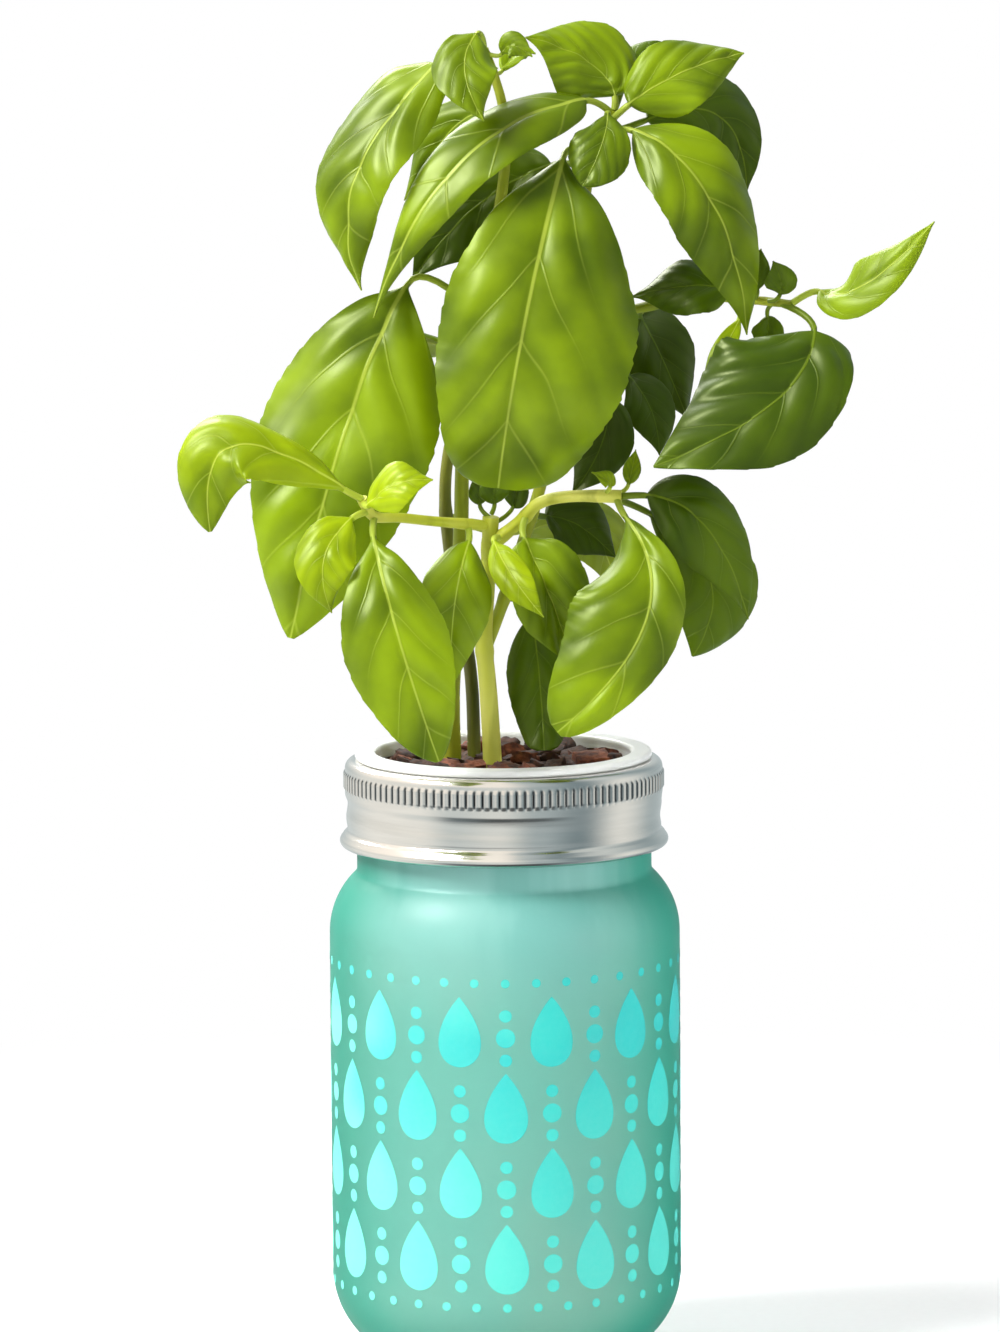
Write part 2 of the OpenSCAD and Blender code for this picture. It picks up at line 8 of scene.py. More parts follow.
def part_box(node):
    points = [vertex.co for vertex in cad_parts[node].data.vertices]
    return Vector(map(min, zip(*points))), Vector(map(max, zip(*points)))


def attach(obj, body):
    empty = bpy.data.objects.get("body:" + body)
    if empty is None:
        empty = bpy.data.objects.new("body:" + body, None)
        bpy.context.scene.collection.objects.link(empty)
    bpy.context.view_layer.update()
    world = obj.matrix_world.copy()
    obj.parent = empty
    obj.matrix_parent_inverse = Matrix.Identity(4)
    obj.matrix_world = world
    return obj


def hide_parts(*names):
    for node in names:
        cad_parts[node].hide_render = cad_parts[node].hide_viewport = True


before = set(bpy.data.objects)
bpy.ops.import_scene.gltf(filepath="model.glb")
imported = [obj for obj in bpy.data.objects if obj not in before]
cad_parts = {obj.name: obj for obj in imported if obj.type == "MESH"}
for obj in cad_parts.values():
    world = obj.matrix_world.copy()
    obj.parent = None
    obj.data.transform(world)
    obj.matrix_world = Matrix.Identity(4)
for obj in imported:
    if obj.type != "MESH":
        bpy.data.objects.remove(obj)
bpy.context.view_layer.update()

MM = 0.001
TAU = 2 * math.pi

# Sizes of the hard pieces in millimetres, the same as the part's own
JAR_SEGMENTS = 160
JAR_R = 47.6
JAR_H = 164.4
JAR_WALL = 3.0
JAR_FLOOR_T = 5.0
HEEL_R = 25.0
HEEL_FLAT = 0.4
SHOULDER_R = 22.0
NECK_R = 40.0
NECK_H = 29.0
NECK_FILLET = 2.5
FOOT_RING_W = 6.0
FOOT_HOLLOW = 1.5
RIM_ROUND = 1.0
BAND_T = 0.6
BAND_H = 23.6
BAND_GAP = 1.8
FLANGE_W = 4.4
KNURL_STEP = 0.7
KNURL_COUNT = 120
KNURL_SEGMENTS = 8
KNURL_DEPTH = 0.45
KNURL_H = 5.1
CORNER_R = 2.4
BEAD_R = 1.5
BEAD_OUT = 2.2
THREAD_PITCH = 7.6
THREAD_RISE = 0.42
MOUTH_R = NECK_R - JAR_WALL
BAND_TOP = JAR_H + BAND_T
BAND_FOOT = BAND_TOP - BAND_H
WAIST_R = NECK_R + BAND_GAP + BAND_T
KNURL_TOP = BAND_TOP - CORNER_R - 0.6
KNURL_FOOT = KNURL_TOP - KNURL_H

# The medium's height and width come from the frame
SOIL_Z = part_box("coir_plug")[1][2] / MM
PLUG_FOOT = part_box("coir_plug")[0][2] / MM
PLUG_TOP_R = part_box("coir_plug")[1][0] / MM
PLUG_FOOT_R = 23.1
SOIL = Vector((0, 0, SOIL_Z))

# Plant sizes
STEM_D = 5.4
BRANCH_D = 2.8
STALK_D = 1.8
BUD_STALK_D = 1.2
GRAFT_SINK = 0.6
ROUNDNESS = 0.62
ROOT_DEPTH = 18.0
STEM_SIDES = 20
ROOTS = [(-14, 2), (-3, -6), (-8, 13)]

# Each stem: name, tone, parent, place on the parent, root or -1, points, start and end diameter
STEMS = [
    ("stem_left", "green", "", 0, 0,
     [(-14, 1, 20), (-12, -1, 44), (-11, -2, 66), (-10, 0, 90),
      (-5, 2, 125), (1, 2, 157), (1, -2, 177), (-4, -4, 193)],
     STEM_D, BRANCH_D * 0.8),
    ("stem_main", "pale", "", 0, 1,
     [(-4, -8, 20), (-5, -8, 34), (-4, -10, 50), (-3, -12, 68)], STEM_D, STEM_D * 0.7),
    ("stem_back", "olive", "", 0, 2,
     [(-9, 14, 24), (-14, 15, 53), (-15, 16, 78), (-8, 18, 104), (6, 18, 126), (12, 14, 147)],
     STEM_D * 0.7, BRANCH_D),
    ("stem_right", "green", "stem_main", 0.56, -1,
     [(1, -1, 46), (10, 3, 73), (18, 7, 103), (21, 6, 133), (24, 4, 158), (31, 0, 176)],
     BRANCH_D * 1.2, BRANCH_D),
    ("branch_upper_right", "green", "stem_right", 0.58, -1,
     [(37, 9, 122), (53, 6, 125), (66, 0, 125), (78, -4, 124)], BRANCH_D, BRANCH_D * 0.7),
    ("branch_left", "pale", "stem_main", 0.96, -1,
     [(-17, -23, 68), (-27, -31, 70), (-34, -36, 71), (-37, -39, 76)], BRANCH_D, BRANCH_D * 0.9),
    ("branch_right", "pale", "stem_main", 0.9, -1,
     [(5, -14, 67), (10, -16, 72), (18, -18, 74), (32, -19, 74)], BRANCH_D * 1.25, BRANCH_D * 1.1),
]

# Each leaf: name, tone, stem, place on it, base, middle and tip of its midrib, width, the way its
# upper side faces, (fold, curl, twist) in degrees, (widest place, tip point, lean, base point)
SOFT = (12, 42, 0)
FULL = (15, 45, 0)
PLAIN = (0.85, 0.5, 0, 0)
LEAVES = [
    ("leaf_crown_left", "mid", "stem_left", 0.965, (-16, -8, 189), (-38, -16, 160), (-37, -14, 129),
     28, (-0.5, -0.8, 0.4), SOFT, (0.65, 0.5, 0.1, 0)),
    ("leaf_crown_front", "mid", "stem_left", 1, (-6, -12, 197), (-9, -22, 188), (-4, -28, 175),
     18, (0, -1, 0.6), SOFT, PLAIN),
    ("leaf_crown_back", "mid", "stem_left", 0.86, (-5, 8, 175), (-14, 14, 169), (-26, 16, 151),
     16, (0, -1, 0.5), SOFT, PLAIN),
    ("leaf_high_left", "mid", "stem_right", 0.984, (23, -5, 179), (-11, -22, 163), (-34, -20, 122),
     21, (-0.2, -0.8, 0.7), SOFT, (0.65, 0.5, 0, 0)),
    ("leaf_under_left", "deep", "stem_right", 0.85, (14, 8, 161), (-6, 9, 150), (-24, 9, 130),
     28, (0, -1, 0.4), SOFT, PLAIN),
    ("leaf_centre_large", "mid", "stem_right", 0.88, (17, -10, 164), (6, -34, 120), (-1, -26, 77),
     54, (0, -1, 0.15), SOFT, (1, -0.35, -0.15, 0.18)),
    ("leaf_top_middle", "mid", "stem_right", 0.998, (31, 1, 180), (24, 2, 189), (7, -3, 196),
     27, (0.1, -0.9, 0.5), SOFT, PLAIN),
    ("leaf_top_right", "mid", "stem_right", 0.96, (35, -4, 178), (49, 1, 186), (66, 4, 191),
     22, (0.1, -0.9, 0.5), SOFT, PLAIN),
    ("leaf_top_behind", "deep", "stem_right", 0.945, (33, 9, 181), (38, 15, 189), (46, 20, 193),
     12, (0.1, -0.8, 0.7), SOFT, PLAIN),
    ("leaf_right_shade", "deep", "stem_right", 0.925, (40, 10, 173), (60, 17, 173), (67, 20, 152),
     23, (0.3, -0.9, 0.2), SOFT, PLAIN),
    ("leaf_node_small", "mid", "stem_right", 0.93, (29, -8, 175), (27, -15, 167), (22, -18, 157),
     17, (0, -1, 0.3), SOFT, (1.2, 0, 0, -0.2)),
    ("leaf_right_drooping", "mid", "stem_right", 0.895, (36, -8, 171), (56, -17, 153), (66, -10, 116),
     28, (0.3, -0.9, 0.4), FULL, PLAIN),
    ("leaf_right_inner", "deep", "branch_upper_right", 0.76, (62, -1, 128), (50, -3, 129), (35, -2, 126),
     18, (0, -0.8, 0.6), SOFT, PLAIN),
    ("leaf_shade_high", "shade", "branch_upper_right", 0.3, (38, 17, 119), (44, 26, 107), (51, 27, 90),
     20, (0, -1, 0.3), SOFT, PLAIN),
    ("leaf_shade_middle", "shade", "stem_right", 0.53, (35, 13, 103), (41, 18, 93), (43, 19, 81),
     14, (0, -1, 0.3), SOFT, PLAIN),
    ("leaf_shade_low", "shade", "stem_right", 0.48, (29, 12, 97), (27, 15, 84), (19, 16, 71),
     17, (0, -1, 0.3), SOFT, PLAIN),
    ("leaf_right_large", "deep", "branch_upper_right", 0.92, (84, -11, 117), (72, -25, 99), (40, -31, 83),
     39, (0.1, -0.9, 0.5), SOFT, (0.8, 0.3, 0.2, -0.3)),
    ("leaf_far_right", "fresh", "branch_upper_right", 1, (86, -2, 127), (98, -12, 130), (116, -16, 147),
     16, (0.1, -0.8, 0.6), SOFT, PLAIN),
    ("leaf_right_strip", "bright", "branch_upper_right", 0.7, (64, -7, 120), (59, -13, 112), (54, -15, 105),
     6, (0, -1, 0.3), SOFT, PLAIN),
    ("leaf_left_large", "mid", "stem_left", 0.655, (-25, -4, 130), (-41, -16, 94), (-57, -20, 36),
     50, (-0.2, -0.95, 0.2), SOFT, (1.1, 0.13, 0, 0.3)),
    ("leaf_far_left", "bright", "branch_left", 0.995, (-42, -41, 79), (-71, -47, 91), (-77, -46, 68),
     25, (0, -0.7, 0.7), (15, 50, 0), (1.1, 0.1, 0, 0)),
    ("leaf_left_small_up", "bright", "branch_left", 0.94, (-35, -44, 75), (-28, -49, 81), (-18, -49, 82),
     15, (0, -0.8, 0.6), SOFT, PLAIN),
    ("leaf_left_small_down", "bright", "branch_left", 0.83, (-40, -43, 71), (-47, -51, 61), (-45, -51, 47),
     17, (-0.1, -1, 0.3), SOFT, PLAIN),
    ("leaf_front_long", "mid", "branch_left", 0.74, (-34, -43, 66), (-27, -58, 40), (-17, -57, 8),
     29, (0, -1, 0.2), FULL, (1.05, 0, 0.08, 0.2)),
    ("leaf_front_second", "mid", "branch_left", 0.12, (-9, -20, 62), (-13, -33, 45), (-14, -34, 24),
     20, (0.1, -1, 0.2), SOFT, PLAIN),
    ("leaf_front_small", "bright", "branch_right", 0.1, (-2, -22, 62), (3, -34, 54), (11, -39, 44),
     10, (0, -1, 0.2), FULL, PLAIN),
    ("leaf_front_folded", "mid", "branch_right", 0.32, (6, -21, 63), (13, -26, 47), (20, -27, 27),
     24, (0.3, -0.9, 0.2), (35, 40, 0), PLAIN),
    ("leaf_low_dark", "deep", "stem_right", 0.16, (8, 2, 40), (10, -2, 21), (11, -9, 4),
     18, (0, -1, 0.2), SOFT, (0.85, -0.3, 0, 0.3)),
    ("leaf_right_front", "mid", "branch_right", 0.96, (33, -24, 69), (38, -44, 44), (14, -46, 14),
     31, (0, -1, 0.2), FULL, (1.1, -0.2, 0.35, 0.2)),
    ("leaf_right_back", "deep", "branch_right", 0.985, (39, -17, 74), (55, -18, 65), (66, -16, 40),
     23, (0.2, -0.9, 0.4), SOFT, PLAIN),
    ("leaf_right_low", "deep", "branch_right", 0.9, (40, -8, 68), (56, -4, 50), (51, -7, 29),
     27, (0.2, -1, -0.1), SOFT, (1.15, 0.3, 0, 0)),
    ("leaf_low_back", "shade", "stem_right", 0.3, (12, 6, 66), (21, 9, 63), (31, 10, 54),
     18, (0, -1, 0.4), SOFT, PLAIN),
    ("leaf_back_left", "mid", "stem_left", 0.6, (-14, 14, 112), (-34, 38, 108), (-44, 52, 84),
     26, (-0.2, 0.8, 0.6), SOFT, PLAIN),
    ("leaf_back_right", "mid", "stem_back", 0.79, (10, 28, 120), (24, 46, 114), (32, 56, 90),
     25, (0.2, 0.8, 0.6), SOFT, PLAIN),
    ("leaf_back_low", "mid", "stem_back", 0.5, (6, 28, 60), (24, 46, 58), (32, 56, 36),
     24, (0.1, 0.8, 0.6), SOFT, PLAIN),
]
BUD_BENDS = (25, 40, 0)
BUD_SEED = 60

# Each bud: its group, then as a leaf from its stem to the way it faces
BUDS = [
    ("buds_top", "stem_left", 0.985, (1, -6, 192), (4, -8, 194), (9, -10, 191), 8, (0, -1, 0.5)),
    ("buds_top", "stem_left", 0.95, (1, 3, 187), (5, 7, 191), (10, 8, 191), 7, (0, -0.6, 0.8)),
    ("buds_centre", "stem_main", 1, (-2, -15, 72), (-2, -17, 76), (-1, -17, 82), 8, (0, -1, 0)),
    ("buds_centre", "stem_main", 0.985, (-6, -9, 71), (-6, -9, 75), (-5, -10, 81), 6, (-0.4, -1, 0)),
    ("buds_centre", "stem_main", 0.96, (3, -8, 70), (4, -8, 74), (4, -9, 81), 7, (0.3, -1, 0)),
    ("buds_node", "branch_right", 0.9, (29, -21, 77), (28, -22, 79), (24, -23, 81), 5, (0, -0.8, 0.6)),
    ("buds_node", "branch_right", 0.95, (34, -15, 77), (35, -14, 81), (36, -13, 86), 5, (0, -1, 0.2)),
    ("buds_right", "branch_upper_right", 0.79, (69, -4, 128), (69, -4, 134), (70, -5, 139), 7, (0, -1, 0.2)),
    ("buds_right", "branch_upper_right", 0.85, (75, -7, 127), (75, -8, 131), (73, -8, 136), 9, (0, -1, 0.3)),
    ("buds_right", "branch_upper_right", 0.895, (72, 4, 120), (72, 5, 115), (70, 4, 110), 9, (0, -1, 0.3)),
]
BUD_TONES = {"buds_top": "mid", "buds_centre": "deep", "buds_node": "bright", "buds_right": "deep"}


def linear(red, green, blue):
    """A screen colour from 0 to 255 as the linear values that shaders take."""
    out = []
    for value in (red, green, blue):
        c = value / 255
        out.append(c / 12.92 if c <= 0.04045 else ((c + 0.055) / 1.055) ** 2.4)
    return (*out, 1.0)


def smooth(low, high, x):
    """Rises softly from zero at low to one at high."""
    t = min(max((x - low) / (high - low), 0.0), 1.0)
    return t * t * (3 - 2 * t)


# Shader building

class Shader:
    """A node material, or the world, with short calls for the nodes that this scene uses."""

    def __init__(self, name, world=False):
        self.material = (bpy.data.worlds if world else bpy.data.materials).new(name)
        self.light = "ShaderNodeBackground" if world else "ShaderNodeEmission"
        self.material.use_nodes = True
        self.nodes = self.material.node_tree.nodes
        self.links = self.material.node_tree.links
        self.nodes.clear()
        self.output = self.nodes.new("ShaderNodeOutputWorld" if world else "ShaderNodeOutputMaterial")
        self.coords = self.nodes.new("ShaderNodeTexCoord")

    def put(self, socket, value):
        """Links or sets a socket. Three values together are a screen colour from 0 to 255."""
        if isinstance(value, bpy.types.NodeSocket):
            self.links.new(value, socket)
        elif isinstance(value, tuple) and len(value) == 3:
            socket.default_value = linear(*value)
        elif value is not None:
            socket.default_value = value

    def math(self, operation, a, b=None, c=None, clamp=False):
        node = self.nodes.new("ShaderNodeMath")
        node.operation = operation
        node.use_clamp = clamp
        for socket, value in zip(node.inputs, (a, b, c)):
            self.put(socket, value)
        return node.outputs[0]

    def times(self, a, b):
        return self.math("MULTIPLY", a, b)

    def mix(self, factor, a, b):
        node = self.nodes.new("ShaderNodeMix")
        node.data_type = "RGBA"
        self.put(node.inputs["Factor"], factor)
        self.put(node.inputs[6], a)
        self.put(node.inputs[7], b)
        return node.outputs[2]

    def ramp(self, factor, low, high):
        node = self.nodes.new("ShaderNodeMapRange")
        node.interpolation_type = "SMOOTHSTEP"
        self.put(node.inputs["Value"], factor)
        node.inputs["From Min"].default_value = low
        node.inputs["From Max"].default_value = high
        return node.outputs["Result"]

    def fall(self, factor, low, high):
        """A ramp from one down to zero."""
        return self.math("SUBTRACT", 1.0, self.ramp(factor, low, high))

    def noise(self, scale, detail, stretch=(1, 1, 1)):
        mapping = self.nodes.new("ShaderNodeMapping")
        mapping.inputs["Scale"].default_value = stretch
        self.links.new(self.coords.outputs["Object"], mapping.inputs["Vector"])
        node = self.nodes.new("ShaderNodeTexNoise")
        node.inputs["Scale"].default_value = scale
        node.inputs["Detail"].default_value = detail
        self.links.new(mapping.outputs[0], node.inputs["Vector"])
        return node.outputs["Fac"]

    def axis(self, name, where="Object"):
        node = self.nodes.new("ShaderNodeSeparateXYZ")
        self.links.new(self.coords.outputs[where], node.inputs[0])
        return node.outputs[name]

    def bump(self, height, distance, strength=1.0):
        node = self.nodes.new("ShaderNodeBump")
        node.inputs["Distance"].default_value = distance
        node.inputs["Strength"].default_value = strength
        self.put(node.inputs["Height"], height)
        return node.outputs[0]

    def principled(self, **values):
        node = self.nodes.new("ShaderNodeBsdfPrincipled")
        for name, value in values.items():
            self.put(node.inputs[name.replace("_", " ")], value)
        return node.outputs[0]

    def translucent(self, color):
        node = self.nodes.new("ShaderNodeBsdfTranslucent")
        self.put(node.inputs["Color"], color)
        return node.outputs[0]

    def glow(self, color, strength=1.0):
        node = self.nodes.new(self.light)
        self.put(node.inputs["Color"], color)
        node.inputs["Strength"].default_value = strength
        return node.outputs[0]

    def seen_directly(self):
        """One for rays that come from the camera or through glass, else zero."""
        return self.math("MAXIMUM", self.ray("Camera"), self.ray("Transmission"))

    def ray(self, kind):
        return self.nodes.new("ShaderNodeLightPath").outputs["Is %s Ray" % kind]

    def blend(self, factor, a, b):
        node = self.nodes.new("ShaderNodeMixShader")
        self.put(node.inputs[0], factor)
        self.links.new(a, node.inputs[1])
        self.links.new(b, node.inputs[2])
        return node.outputs[0]

    def done(self, surface):
        self.links.new(surface, self.output.inputs["Surface"])
        return self.material


# Side veins: slope and arch of each, spacing, first place and waver, as shares of the leaf's length
VEIN_SLOPE = 1.5
VEIN_ARCH = 1.2
VEIN_STEP = 0.25
VEIN_START = -0.6
VEIN_STRAY = 0.11


def vein_distance(x, t):
    """How far a point of the blade is from its nearest side vein, from 0 to 0.5 of the veins' spacing.
    The place x is across from the midrib and t along it, both as shares of the leaf's length."""
    q = (t - VEIN_SLOPE * abs(x) - VEIN_ARCH * x * x - VEIN_START) / VEIN_STEP
    return 0.5 - abs(q - math.floor(q) - 0.5)


def leaf_material(name, dark, light, vein, gloss, glow):
    """Blade seen from above or below: veins follow the leaf's own map, the rest varies softly, and painted
    shade darkens the creases along the side veins.
    """
    sh = Shader(name)
    t = sh.axis("Y", "UV")
    x = sh.math("ABSOLUTE", sh.math("SUBTRACT", sh.axis("X", "UV"), 0.5))
    arch = sh.times(x, sh.math("MULTIPLY_ADD", x, VEIN_ARCH, VEIN_SLOPE))
    q = sh.math("DIVIDE", sh.math("SUBTRACT", sh.math("SUBTRACT", t, arch), VEIN_START), VEIN_STEP)
    wave = sh.math("SUBTRACT", 0.5, sh.math("ABSOLUTE", sh.math("SUBTRACT", sh.math("FRACT", q), 0.5)))
    side = sh.times(sh.fall(wave, 0.0, 0.04), sh.fall(x, 0.05, 0.22))
    rib = sh.fall(sh.math("MULTIPLY_ADD", t, 0.004, x), 0.004, 0.0095)
    broad = sh.ramp(sh.noise(30.0, 2.0), 0.34, 0.64)
    fine = sh.noise(230.0, 2.5)
    # Painted shade: darker in the creases along the side veins, lighter on the cushions between them.
    crease_shade_mask = sh.ramp(wave, 0.0, 0.36)
    shade = sh.math("MULTIPLY_ADD", broad, 0.62, sh.times(crease_shade_mask, 0.14), clamp=True)
    shade = sh.math("MULTIPLY_ADD", fine, 0.2, shade, clamp=True)
    color = sh.mix(shade, dark, light)
    color = sh.mix(sh.times(side, 0.22), color, vein)
    color = sh.mix(sh.times(rib, 0.6), color, vein)
    height = sh.math("MULTIPLY_ADD", sh.math("MAXIMUM", side, rib), -0.6, sh.times(fine, 0.06))
    normal = sh.bump(height, 0.00025, 0.6)
    rough = sh.math("MULTIPLY_ADD", fine, 0.14, gloss - 0.07)
    skin = sh.principled(Base_Color=color, Roughness=rough, IOR=1.4, Specular_IOR_Level=0.75,
                         Specular_Tint=(0.9, 1.0, 0.5, 1), Normal=normal)
    through = sh.translucent(sh.mix(0.5, color, (0.42, 0.5, 0.0, 1)))
    return sh.done(sh.blend(glow, skin, through))


def stem_material(name, low, high, streak):
    """Patchy green skin with fine fibres along it."""
    sh = Shader(name)
    fibres = sh.noise(150.0, 4.0, (1, 1, 0.08))
    patches = sh.ramp(sh.noise(38.0, 2.0, (1, 1, 0.35)), 0.35, 0.7)
    color = sh.mix(patches, low, high)
    color = sh.mix(sh.times(sh.ramp(fibres, 0.52, 0.66), 0.4), color, streak)
    normal = sh.bump(fibres, 0.0003, 0.6)
    skin = sh.principled(Base_Color=color, Roughness=0.42, IOR=1.42, Normal=normal)
    return sh.done(sh.blend(0.14, skin, sh.translucent(color)))


def glass_material():
    """Frosted tinted glass: most of the light scatters in its frosted skin, little goes straight through."""
    sh = Shader("frosted_glass")
    height = sh.axis("Z")
    facing = sh.nodes.new("ShaderNodeLayerWeight")
    facing.inputs["Blend"].default_value = 0.5
    rim = sh.ramp(facing.outputs["Facing"], 0.02, 0.72)
    grain = sh.noise(900.0, 2.0)
    cloud = sh.ramp(sh.noise(16.0, 2.0), 0.35, 0.7)
    # Painted light: the upper wall is lighter where the white cup stands behind it, crossed by darker
    # painted streaks for the cup's ribs seen through the frost.
    streak = sh.noise(60.0, 3.0, (1, 1, 0.05))
    upper = sh.ramp(height, 0.09, 0.14)
    body = sh.mix(sh.times(cloud, 0.5), (134, 214, 196), (170, 214, 192))
    body = sh.mix(sh.times(upper, 0.7), body, (178, 236, 232))
    lines = sh.times(sh.ramp(streak, 0.46, 0.62), upper)
    body = sh.mix(sh.times(lines, 0.4), body, (112, 196, 186))
    # The wall turns deeper teal towards the edges that the view grazes. Across the jar this edge colour is
    # painted light: a lighter, purer teal on the right, the side away from the key lamp.
    shade = sh.mix(sh.ramp(sh.axis("X"), -0.03, 0.04), (44, 172, 146), (8, 176, 150))
    body = sh.mix(sh.times(rim, 0.9), body, shade)
    normal = sh.bump(grain, 0.00006, 0.5)
    glass = sh.principled(Base_Color=body, Roughness=0.4, IOR=1.45, Transmission_Weight=0.16,
                          Specular_IOR_Level=0.5, Normal=normal)
    return sh.done(sh.blend(0.3, glass, sh.translucent(body)))


def print_material():
    """Enamel print: painted light across the jar, pale mint on its lit left side and turquoise on its right.
    """
    sh = Shader("enamel_print")
    # Painted light: paler where the key lamp falls on the left, deeper turquoise on the right. The print is
    # also more turquoise towards the top.
    across = sh.ramp(sh.axis("X"), -0.044, 0.02)
    up = sh.ramp(sh.axis("Z"), 0.03, 0.1)
    patches = sh.ramp(sh.noise(24.0, 1.0), 0.4, 0.62)
    mix = sh.times(across, sh.math("MULTIPLY_ADD", up, 0.3, 0.7))
    color = sh.mix(mix, (118, 236, 214), (14, 200, 190))
    color = sh.mix(sh.times(sh.times(patches, up), 0.7), color, (0, 190, 188))
    grain = sh.noise(700.0, 3.0)
    color = sh.mix(sh.times(grain, 0.08), color, (190, 250, 244))
    normal = sh.bump(grain, 0.00003, 0.4)
    return sh.done(sh.principled(Base_Color=color, Roughness=0.5, IOR=1.45, Normal=normal))


def metal_material():
    """Bright plated band, with painted shade in the slots between its knurls and a little over the whole
    knurled ring.
    """
    sh = Shader("plated_band")
    brushed = sh.noise(60.0, 4.0, (1, 1, 14))
    spots = sh.noise(420.0, 2.0)
    color = sh.mix(brushed, (218, 216, 211), (236, 234, 229))
    turn = sh.math("ARCTAN2", sh.axis("Y"), sh.axis("X"))
    knurl = sh.math("ABSOLUTE", sh.math("COSINE", sh.times(turn, KNURL_COUNT / 2)))
    height = sh.axis("Z")
    zone = sh.times(sh.ramp(height, KNURL_FOOT * MM, (KNURL_FOOT + 0.6) * MM),
                   sh.fall(height, (KNURL_TOP - 0.4) * MM, (KNURL_TOP + 0.4) * MM))
    slot = sh.fall(knurl, 0.15, 0.8)
    # Painted shade: dark in the knurls' slots, and slightly darker over the whole knurled ring.
    slot_shade = sh.times(sh.math("MULTIPLY_ADD", slot, 0.84, 0.1), zone)
    color = sh.mix(slot_shade, color, (46, 56, 62))
    rough = sh.math("MULTIPLY_ADD", brushed, 0.08, 0.13)
    normal = sh.bump(sh.math("MULTIPLY_ADD", spots, 0.3, brushed), 0.00006, 0.35)
    return sh.done(sh.principled(Base_Color=color, Metallic=1.0, Roughness=rough, Normal=normal))


def plastic_material():
    """Plain white moulded plastic."""
    sh = Shader("white_cup")
    grain = sh.noise(800.0, 2.0)
    broad = sh.noise(30.0, 2.0)
    color = sh.mix(broad, (238, 240, 238), (248, 249, 247))
    normal = sh.bump(grain, 0.00003, 0.4)
    return sh.done(sh.principled(Base_Color=color, Roughness=0.32, IOR=1.46, Normal=normal))


def crumb_material(name, dark, light, scale):
    """Rough fibrous crumbs, for bark and coir."""
    sh = Shader(name)
    grain = sh.noise(scale, 6.0)
    fibre = sh.noise(scale * 0.6, 4.0, (1, 0.25, 1))
    color = sh.mix(sh.ramp(grain, 0.3, 0.72), dark, light)
    color = sh.mix(sh.times(sh.ramp(fibre, 0.5, 0.7), 0.5), color, dark)
    normal = sh.bump(sh.math("ADD", grain, fibre), 0.0009, 0.8)
    return sh.done(sh.principled(Base_Color=color, Roughness=0.82, Normal=normal))


def wick_material():
    """Off-white bonded fibres along the wick."""
    sh = Shader("wick_fibre")
    fibre = sh.noise(900.0, 4.0, (1, 1, 0.1))
    color = sh.mix(sh.ramp(fibre, 0.35, 0.65), (206, 200, 182), (236, 232, 220))
    normal = sh.bump(fibre, 0.0003)
    return sh.done(sh.principled(Base_Color=color, Roughness=0.9, Sheen_Weight=0.3, Normal=normal))


# Mesh building

FOLD_ANGLE = math.radians(62)


def make_piece(name, points, faces, materials, body, uvs=None, indices=None):
    """A smooth mesh object from points in millimetres, sharp at its folds, riding on a body of the frame."""
    mesh = bpy.data.meshes.new(name)
    mesh.from_pydata([Vector(p) * MM for p in points], [], faces)
    mesh.polygons.foreach_set("use_smooth", [True] * len(mesh.polygons))
    for material in materials:
        mesh.materials.append(material)
    if indices is not None:
        mesh.polygons.foreach_set("material_index", indices)
    if uvs is not None:
        layer = mesh.uv_layers.new(name="leaf_map")
        for loop in mesh.loops:
            layer.data[loop.index].uv = uvs[loop.vertex_index]
    mesh.validate()
    mesh.update()
    mesh.set_sharp_from_angle(angle=FOLD_ANGLE)
    piece = bpy.data.objects.new(name, mesh)
    bpy.context.scene.collection.objects.link(piece)
    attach(piece, body)
    return piece


def join(points, faces, part):
    """Adds the points and faces of a part to those of a piece."""
    start = len(points)
    points.extend(part[0])
    faces.extend([tuple(v + start for v in face) for face in part[1]])


def arc(cx, cy, radius, start, end, steps):
    """Points of an arc between two angles in degrees."""
    out = []
    for i in range(steps + 1):
        a = math.radians(start + (end - start) * i / steps)
        out.append((cx + radius * math.cos(a), cy + radius * math.sin(a)))
    return out


def lathe(outline, segments, reshape=None):
    """Points and faces of a closed outline turned about Z. Outline points on the axis become one point,
    and a point that repeats the one before it is left out. A function reshape gives the radius of the
    outline's point i at an angle."""
    outline = [p for i, p in enumerate(outline) if math.dist(p, outline[i - 1]) > 1e-4]
    points = []
    rings = []
    for i, (r, z) in enumerate(outline):
        if r < 1e-6:
            rings.append([len(points)] * segments)
            points.append((0, 0, z))
            continue
        ring = []
        for j in range(segments):
            a = TAU * j / segments
            rr = reshape(i, r, z, a) if reshape else r
            ring.append(len(points))
            points.append((rr * math.cos(a), rr * math.sin(a), z))
        rings.append(ring)
    faces = []
    for i in range(len(outline)):
        low, high = rings[i], rings[(i + 1) % len(outline)]
        if low[0] == low[1] and high[0] == high[1]:
            continue
        for j in range(segments):
            k = (j + 1) % segments
            face = []
            for v in (low[j], low[k], high[k], high[j]):
                if v not in face:
                    face.append(v)
            faces.append(face)
    return points, faces


def loft(rings):
    """Points and faces of a closed solid through rings of equal length, with flat ends."""
    n = len(rings[0])
    points = [p for ring in rings for p in ring]
    faces = []
    for i in range(len(rings) - 1):
        for j in range(n):
            k = (j + 1) % n
            faces.append((i * n + j, i * n + k, (i + 1) * n + k, (i + 1) * n + j))
    faces.append(tuple(range(n - 1, -1, -1)))
    last = (len(rings) - 1) * n
    faces.append(tuple(range(last, last + n)))
    return points, faces


# The jar, its print and the band

